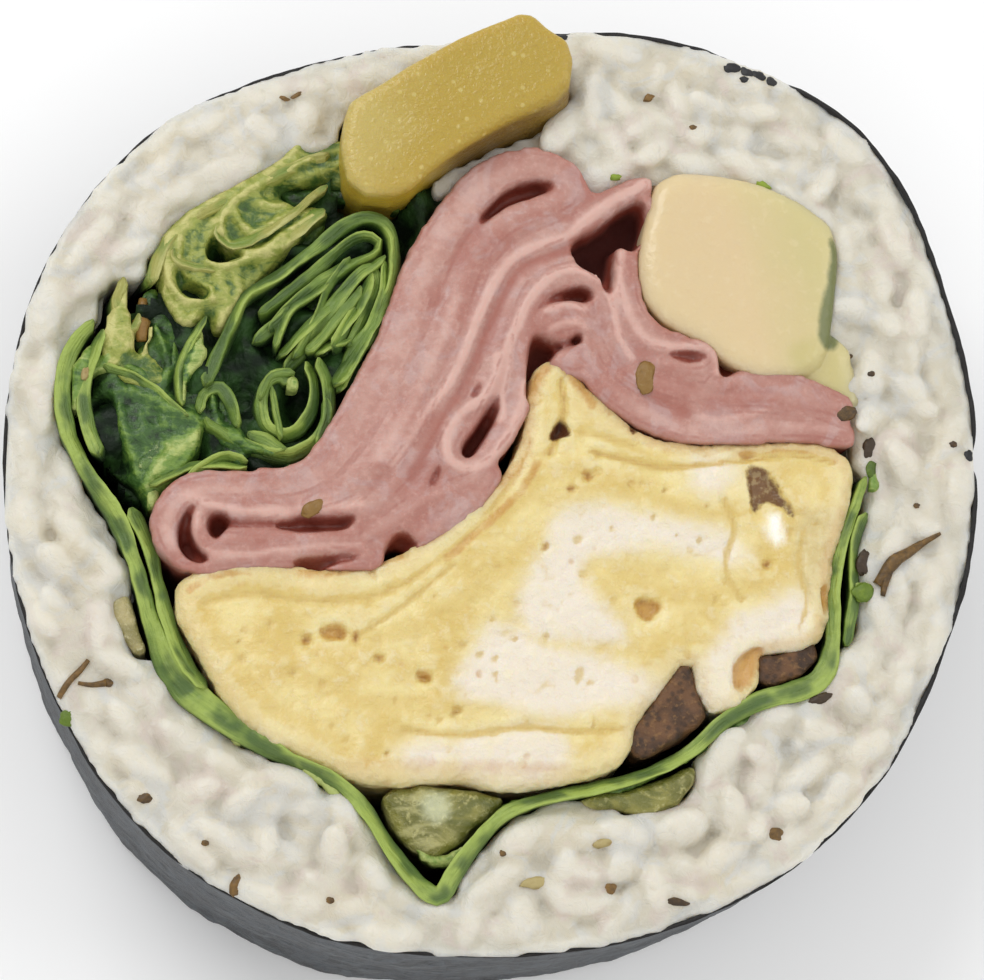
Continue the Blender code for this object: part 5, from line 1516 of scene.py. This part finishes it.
def throwGrains(field, upper, chance):
    look = riceSettings
    grains = []
    for height, spacing, tries, tilt in look["layers"]:
        placed = []
        for _ in range(tries):
            x, y = chance.uniform(*look["right"]), chance.uniform(*look["away"])
            depth, slope = fieldAt(field, x, y)
            turn, length = chance.uniform(0, math.pi), chance.uniform(*look["length"])
            width, pitch = chance.uniform(*look["width"]), chance.gauss(0, tilt)
            roll, lift = chance.uniform(-0.5, 0.5), chance.gauss(0, look["lift"])
            if depth < look["clear"]:
                continue
            if depth < look["follow"]:  # along the edge of the rice
                turn = math.atan2(slope[0], -slope[1]) + chance.uniform(-0.35, 0.35)
                pitch *= 0.4
            if any((x - a) ** 2 + (y - b) ** 2 < spacing ** 2 for a, b in placed):
                continue
            along = (math.cos(turn) * math.cos(pitch), math.sin(turn) * math.cos(pitch))
            tips = [side * length * look["tip"] for side in (-1, 1)]
            ends = [fieldAt(field, x + along[0] * tip, y + along[1] * tip)[0] for tip in tips]
            if min(ends) < look["tipClear"]:
                continue
            placed.append((x, y))
            z = height + lift if upper else thickness - height - 0.15 + abs(lift)
            grains.append((x, y, z, turn, pitch if upper else pitch * 0.4, roll, length, width))
    return grains


def grainTree():  # a bent grain at every point, turned and sized by the point's values
    tree = bpy.data.node_groups.new("riceGrains", "GeometryNodeTree")
    names = (("Geometry", "NodeSocketGeometry"), ("Segments", "NodeSocketInt"),
             ("Rings", "NodeSocketInt"), ("Bend", "NodeSocketFloat"), ("Material", "NodeSocketMaterial"))
    sockets = {name: tree.interface.new_socket(name, in_out="INPUT", socket_type=kind)
               for name, kind in names}
    tree.interface.new_socket("Geometry", in_out="OUTPUT", socket_type="NodeSocketGeometry")

    def add(kind, **settings):
        node = tree.nodes.new(kind)
        for key, value in settings.items():
            setattr(node, key, value)
        return node

    group, output = add("NodeGroupInput"), add("NodeGroupOutput")
    ball, split = add("GeometryNodeMeshUVSphere"), add("ShaderNodeSeparateXYZ")
    place, move = add("GeometryNodeInputPosition"), add("GeometryNodeSetPosition")
    square = add("ShaderNodeMath", operation="MULTIPLY")
    curve = add("ShaderNodeMath", operation="MULTIPLY")
    offset, turn = add("ShaderNodeCombineXYZ"), add("FunctionNodeEulerToRotation")
    turns, sizes = (add("GeometryNodeInputNamedAttribute", data_type="FLOAT_VECTOR") for _ in range(2))
    turns.inputs["Name"].default_value, sizes.inputs["Name"].default_value = "turn", "size"
    scatter = add("GeometryNodeInstanceOnPoints")
    realize, paint = add("GeometryNodeRealizeInstances"), add("GeometryNodeSetMaterial")
    for source, outlet, target, inlet in (
            (group, "Segments", ball, "Segments"), (group, "Rings", ball, "Rings"),
            (place, "Position", split, "Vector"), (split, "Z", square, 0), (split, "Z", square, 1),
            (square, 0, curve, 0), (group, "Bend", curve, 1), (curve, 0, offset, "X"),
            (ball, "Mesh", move, "Geometry"), (offset, "Vector", move, "Offset"),
            (turns, "Attribute", turn, 0), (group, "Geometry", scatter, "Points"),
            (move, "Geometry", scatter, "Instance"), (turn, 0, scatter, "Rotation"),
            (sizes, "Attribute", scatter, "Scale"), (scatter, "Instances", realize, "Geometry"),
            (realize, "Geometry", paint, "Geometry"), (group, "Material", paint, "Material"),
            (paint, "Geometry", output, 0)):
        tree.links.new(source.outputs[outlet], target.inputs[inlet])
    return tree, {name: socket.identifier for name, socket in sockets.items()}


def grainMesh(name, grains, tree, identifiers, material, chance):
    look = riceSettings
    places, turns, sizes = [], [], []
    for x, y, z, turn, pitch, roll, length, width in grains:
        rotation = (Matrix.Rotation(turn, 3, "Z") @ Matrix.Rotation(math.pi / 2 - pitch, 3, "Y")
                    @ Matrix.Rotation(roll + (chance.random() < 0.5) * math.pi, 3, "Z"))
        places.append(tuple(toFrame([(x, y, z)])[0]))
        turns.append(tuple(rotation.to_euler()))
        sizes.append((width * look["flat"] / 2000, width / 2000, length / 2000))
    mesh = bpy.data.meshes.new(name)
    mesh.from_pydata(places, [], [])
    for key, values in (("turn", turns), ("size", sizes)):
        mesh.attributes.new(key, "FLOAT_VECTOR", "POINT").data.foreach_set("vector", np.array(values).ravel())
    helper = addObject(name + "Points", mesh)
    modifier = helper.modifiers.new("Grains", "NODES")
    modifier.node_group = tree
    for key, value in (("Segments", look["segments"]), ("Rings", look["rings"]), ("Bend", look["bend"]),
                       ("Material", material)):
        modifier[identifiers[key]] = value
    plain = plainMesh(helper)
    points = readPoints(plain)
    lumps = np.stack([rough(points * 1000, 1.1, 50 + k) for k in range(3)], axis=1)
    writePoints(plain, points + lumps * look["lumps"] / 1000)
    return plain


def makeRiceFace(name, upper, field, tree, identifiers, material, chance):
    look = riceSettings
    values, steps = field
    grid = gridPoints(steps, steps, 9.0 * upper)
    bumps = 0.4 * rough(grid, 3.2, 61) + 0.2 * rough(grid, 1.6, 62)
    high = look["slab"] + bumps + look["rimRaise"] * step(-rimDistance(grid), -2.2, -0.6)
    low = np.full(len(grid), look["slabFoot"])
    if not upper:
        high, low = thickness - low, thickness - high + 0.1
    slab = plateMesh(name, steps, steps, values > -look["reach"], high, low)
    grains = throwGrains(field, upper, chance)
    loose = grainMesh(name, grains, tree, identifiers, material, chance)
    piece = addPiece(name, remeshed(merged(name, (slab, loose)), look["face"]))
    points = toTable(readPoints(piece.data))
    high = points[:, 2] if upper else thickness - points[:, 2]
    inset = look["behind"] * (1 - step(high, 18.6, 19.1) * upper) + 0.04
    points = toFrame(keepInside(points, inset))
    finder = finderOf(toFrame([grain[:3] for grain in grains]))
    tints = [chance.random() for _ in grains]
    writePoints(piece.data, points)
    addValues(piece, tint=[tints[finder.find(point)[1]] for point in points], hollow=hollows(piece.data, 10))
    finishPiece(piece, material)
    print(f"{name}: {len(grains)} grains")


def ricePaint():
    paint = Paint("rice", riceSettings)
    at = paint.place()
    tint, hollow = paint.attributes("tint", "hollow")
    broad = paint.lumps(at, 6.0, 2.0)
    fine = paint.lumps(at, 1.0, 2.0)
    patch = paint.lumps(at, 3.0, 3.0, 0.6, 0.8)
    grit = paint.lumps(at, 0.9, 4.0, 0.65, 0.8)
    hollow = hollow + (fine - 0.5) * 0.06
    colour = paint.coats(
        "shade",
        (tint, "light"),
        (0.6, "mid"),
        (broad.ramp(0.45, 0.75) * 0.4, "warm"),
        (patch.ramp(0.51, 0.62) * 0.7, "grey"),
        (patch.ramp(0.46, 0.36) * 0.6, "rosy"),
        # painted shade in the hollows between the grains and painted light on their tops
        (hollow.ramp(0.02, 0.14) * 0.35, "deep"),
        (hollow.ramp(-0.01, -0.1) * 0.6, "light"),
        (grit.ramp(0.42, 0.3) * 0.3, "shade"),
        (grit.ramp(0.54, 0.7) * 0.4, "light"))
    return paint.finish(colour, 0.34 + fine * 0.2, paint.bump(grit, 0.2), riceSettings["flesh"])


core = makeRiceCore()
rice = ricePaint()
finishPiece(core, rice, "rice")
field = riceField(core)
tree, identifiers = grainTree()
chance = random.Random(riceSettings["seed"])
for name, upper in (("riceTop", True), ("riceBottom", False)):
    makeRiceFace(name, upper, field, tree, identifiers, rice, chance)

# Small things on the cut face: slot, three colours, then pixel, length and width in mm, turn in degrees, tint
fleckSettings = {
    "sink": 0.5, "thickest": 0.6,
    "brownFlecks": ("burdock", (54, 38, 18), (132, 98, 42), (172, 156, 104),
        ((645, 377, 2.3, 1.15, 84, 0.5), (845, 414, 1.6, 1.0, 20, 0.14), (871, 446, 1.6, 0.9, 80, 0.0),
        (313, 509, 1.7, 0.9, 32, 0.5), (693, 128, 0.5, 0.4, 0, 0.22), (652, 94, 0.9, 0.5, 40, 0.33),
        (284, 97, 0.8, 0.3, -20, 0.28), (297, 94, 0.8, 0.3, 35, 0.28), (503, 853, 0.45, 0.4, 0, 0.19),
        (540, 882, 2.2, 0.7, 5, 0.95), (610, 886, 0.95, 0.8, 70, 0.3), (606, 842, 1.7, 0.6, 15, 0.9),
        (674, 901, 1.8, 0.5, -8, 0.08), (776, 835, 1.3, 0.9, -20, 0.25), (235, 885, 1.3, 0.6, 80, 0.28),
        (145, 797, 0.9, 0.6, 10, 0.14), (205, 843, 0.5, 0.4, 0, 0.22), (870, 375, 0.5, 0.35, 0, 0.11),
        (853, 354, 0.45, 0.3, 30, 0.17), (918, 505, 0.45, 0.35, 0, 0.11), (954, 444, 0.5, 0.4, 0, 0.06),
        (330, 900, 0.5, 0.4, 0, 0.22), (106, 682, 0.8, 0.7, 0, 0.19), (85, 372, 0.9, 0.5, 80, 0.8),
        (657, 183, 0.8, 0.35, 60, 0.28), (865, 562, 1.7, 0.9, 80, 0.0), (822, 698, 1.7, 0.6, 20, 0.02))),
    "greenFlecks": ("leaf", (44, 64, 8), (88, 112, 18), (136, 156, 44), ((872, 468, 1.2, 0.6, 80, 0.3),
        (864, 592, 1.5, 1.2, 30, 0.6), (67, 715, 1.2, 1.0, 60, 0.5), (616, 176, 0.8, 0.5, 0, 0.8),
        (763, 183, 1.2, 0.5, -25, 0.9))),
    "seaweedCrumbs": ("nori", (18, 18, 20), (32, 32, 34), (52, 50, 50), ((735, 67, 1.2, 0.7, -10, 0.2),
        (748, 72, 1.0, 0.7, -25, 0.5), (760, 75, 1.1, 0.8, -20, 0.1), (773, 80, 0.9, 0.6, -30, 0.6),
        (745, 79, 0.6, 0.5, 0, 0.3), (971, 455, 0.9, 0.6, 80, 0.1), (560, 38, 1.0, 0.5, 10, 0.3))),
}
# Threads of root: tint, then pixels with thickness in millimetres
threadSettings = {
    "rootThreads": ((0.5, ((144, 292, 0.5), (143, 306, 0.9), (142, 322, 1.0), (142, 336, 0.6))),
                    (0.24, ((878, 584, 0.7), (886, 572, 0.85), (896, 560, 0.8), (912, 550, 0.6),
                        (928, 540, 0.4), (941, 533, 0.2))),
                    (0.18, ((890, 568, 0.6), (886, 582, 0.5), (883, 596, 0.3))),
                    (0.25, ((58, 696, 0.35), (70, 680, 0.4), (80, 669, 0.35), (88, 659, 0.25))),
                    (0.25, ((78, 682, 0.25), (92, 684, 0.3), (106, 681, 0.45)))),
}


def surfaceFinder(*pieces):  # the highest surface of the pieces at a table point
    trees = [BVHTree.FromPolygons([vertex.co for vertex in piece.data.vertices],
                                  [tuple(face.vertices) for face in piece.data.polygons]) for piece in pieces]

    def height(x, y):
        hits = [topAt(tree, *toFrame([(x, y, thickness)])[0][:2]) for tree in trees]
        return max((hit for hit in hits if hit is not None), default=thickness - 1)
    return height


def makeFlecks(name, height):
    slot, _, _, _, spots = fleckSettings[name]
    shape = bmesh.new()
    tints = []
    for k, (column, row, length, width, turn, tint) in enumerate(spots):
        x, y = fromPicture(column, row)
        thick = min(width, fleckSettings["thickest"])
        z = height(x, y) + 0.1 - fleckSettings["sink"] * thick * 0.5
        ball = bmesh.ops.create_icosphere(shape, subdivisions=3, radius=1.0)["verts"]
        cosine, sine = math.cos(math.radians(turn)), math.sin(math.radians(turn))
        for vertex in ball:
            lump = 1 + 0.35 * noise.noise(vertex.co * 1.6 + Vector((3.1 * k, 0, 0)))
            u, v, w = vertex.co * lump
            u, v, w = u * length / 2, v * width / 2, w * thick * 0.28
            vertex.co = toFrame([(x + u * cosine - v * sine, y + u * sine + v * cosine, z + w)])[0]
        tints += [tint] * len(ball)
    mesh = bpy.data.meshes.new(name)
    shape.to_mesh(mesh)
    shape.free()
    piece = addPiece(name, mesh)
    addValues(piece, tint=tints)
    return piece


def makeThreads(name, height, sides=8):
    points, faces, tints = [], [], []
    for tint, line in threadSettings[name]:
        line = smoothPath(withWidth(line), 0.3)
        faces += loopFaces(len(line), sides, len(points))
        tints += [tint] * (len(line) * sides)
        for (x, y, thick), (wayX, wayY) in zip(line, directions(line)):
            z = height(x, y) + 0.05
            for k in range(sides):
                turn = math.tau * k / sides
                radius = thick / 2 * (1 + 0.3 * noise.noise(Vector((x, y, turn))))
                points.append((x - wayY * radius * math.cos(turn), y + wayX * radius * math.cos(turn),
                               z + radius * math.sin(turn)))
    piece = makePiece(name, toFrame(points), faces, "burdock", tint=tints)
    faceOut(piece.data)
    return piece


def fleckPaint(name):
    _, dark, middle, light, _ = fleckSettings[name]
    paint = Paint(name)
    tint, = paint.attributes("tint")
    fine = paint.lumps(paint.place(), 0.4, 3.0, 0.6)
    level = tint + (fine - 0.5) * 0.6
    colour = paint.coats(dark, (level.ramp(0.0, 0.5), middle), (level.ramp(0.5, 1.0), light))
    return paint.finish(colour, 0.5, paint.bump(fine, 0.1))


height = surfaceFinder(*(bpy.data.objects[name] for name in ("riceTop", "hamSlices", "eggRoll",
    "perillaLeaves", "leafFaces", "lettuceFaces", "cucumberBaton")))
for name in ("brownFlecks", "greenFlecks", "seaweedCrumbs"):
    piece = makeFlecks(name, height)
    if name == "brownFlecks":
        piece = joinPieces(name, "burdock", piece, makeThreads("rootThreads", height))
    finishPiece(piece, fleckPaint(name))

# Floor, light and camera
studio = {
    "target": (-0.000363, -0.001036, 0.020), "floor": 1.2, "paper": (250, 250, 250), "world": 0.72,
    "lights": (  # position, size, power in watts
        ((-0.22, 0.30, 0.42), 0.30, 1.15),
        ((0.38, 0.05, 0.35), 0.35, 0.5),
        ((-0.1, -0.42, 0.25), 0.4, 0.3),
    ),
}


def makeStudio():
    look = studio
    bpy.context.scene.view_settings.view_transform = "Standard"
    half = look["floor"] / 2
    mesh = bpy.data.meshes.new("floor")
    mesh.from_pydata([(-half, -half, 0), (half, -half, 0), (half, half, 0), (-half, half, 0)], [],
                     [(0, 1, 2, 3)])
    mesh.materials.append(Paint("floor", look).finish("paper", 0.7))
    addObject("floor", mesh)
    world = bpy.data.worlds.new("studio")
    world.use_nodes = True
    background = world.node_tree.nodes["Background"]
    background.inputs["Color"].default_value = (1.0, 1.0, 1.0, 1.0)
    background.inputs["Strength"].default_value = look["world"]
    bpy.context.scene.world = world
    target = Vector(look["target"])
    for i, (place, size, power) in enumerate(look["lights"]):
        light = bpy.data.lights.new(f"light{i}", "AREA")
        light.shape, light.size, light.energy = "DISK", size, power
        lamp = addObject(f"light{i}", light)
        lamp.location = place
        lamp.rotation_euler = (target - Vector(place)).to_track_quat("-Z", "Y").to_euler()
    right, up, back = viewAxes()
    camera = bpy.data.cameras.new("camera")
    camera.lens, camera.sensor_width = viewSettings["lens"], viewSettings["sensor"]
    camera.clip_start, camera.clip_end = 0.01, 10
    view = addObject("camera", camera)
    view.matrix_world = Matrix.LocRotScale(target + back * viewSettings["distance"] / 1000,
                                           Matrix((right, up, back)).transposed(), None)
    bpy.context.scene.camera = view


makeStudio()
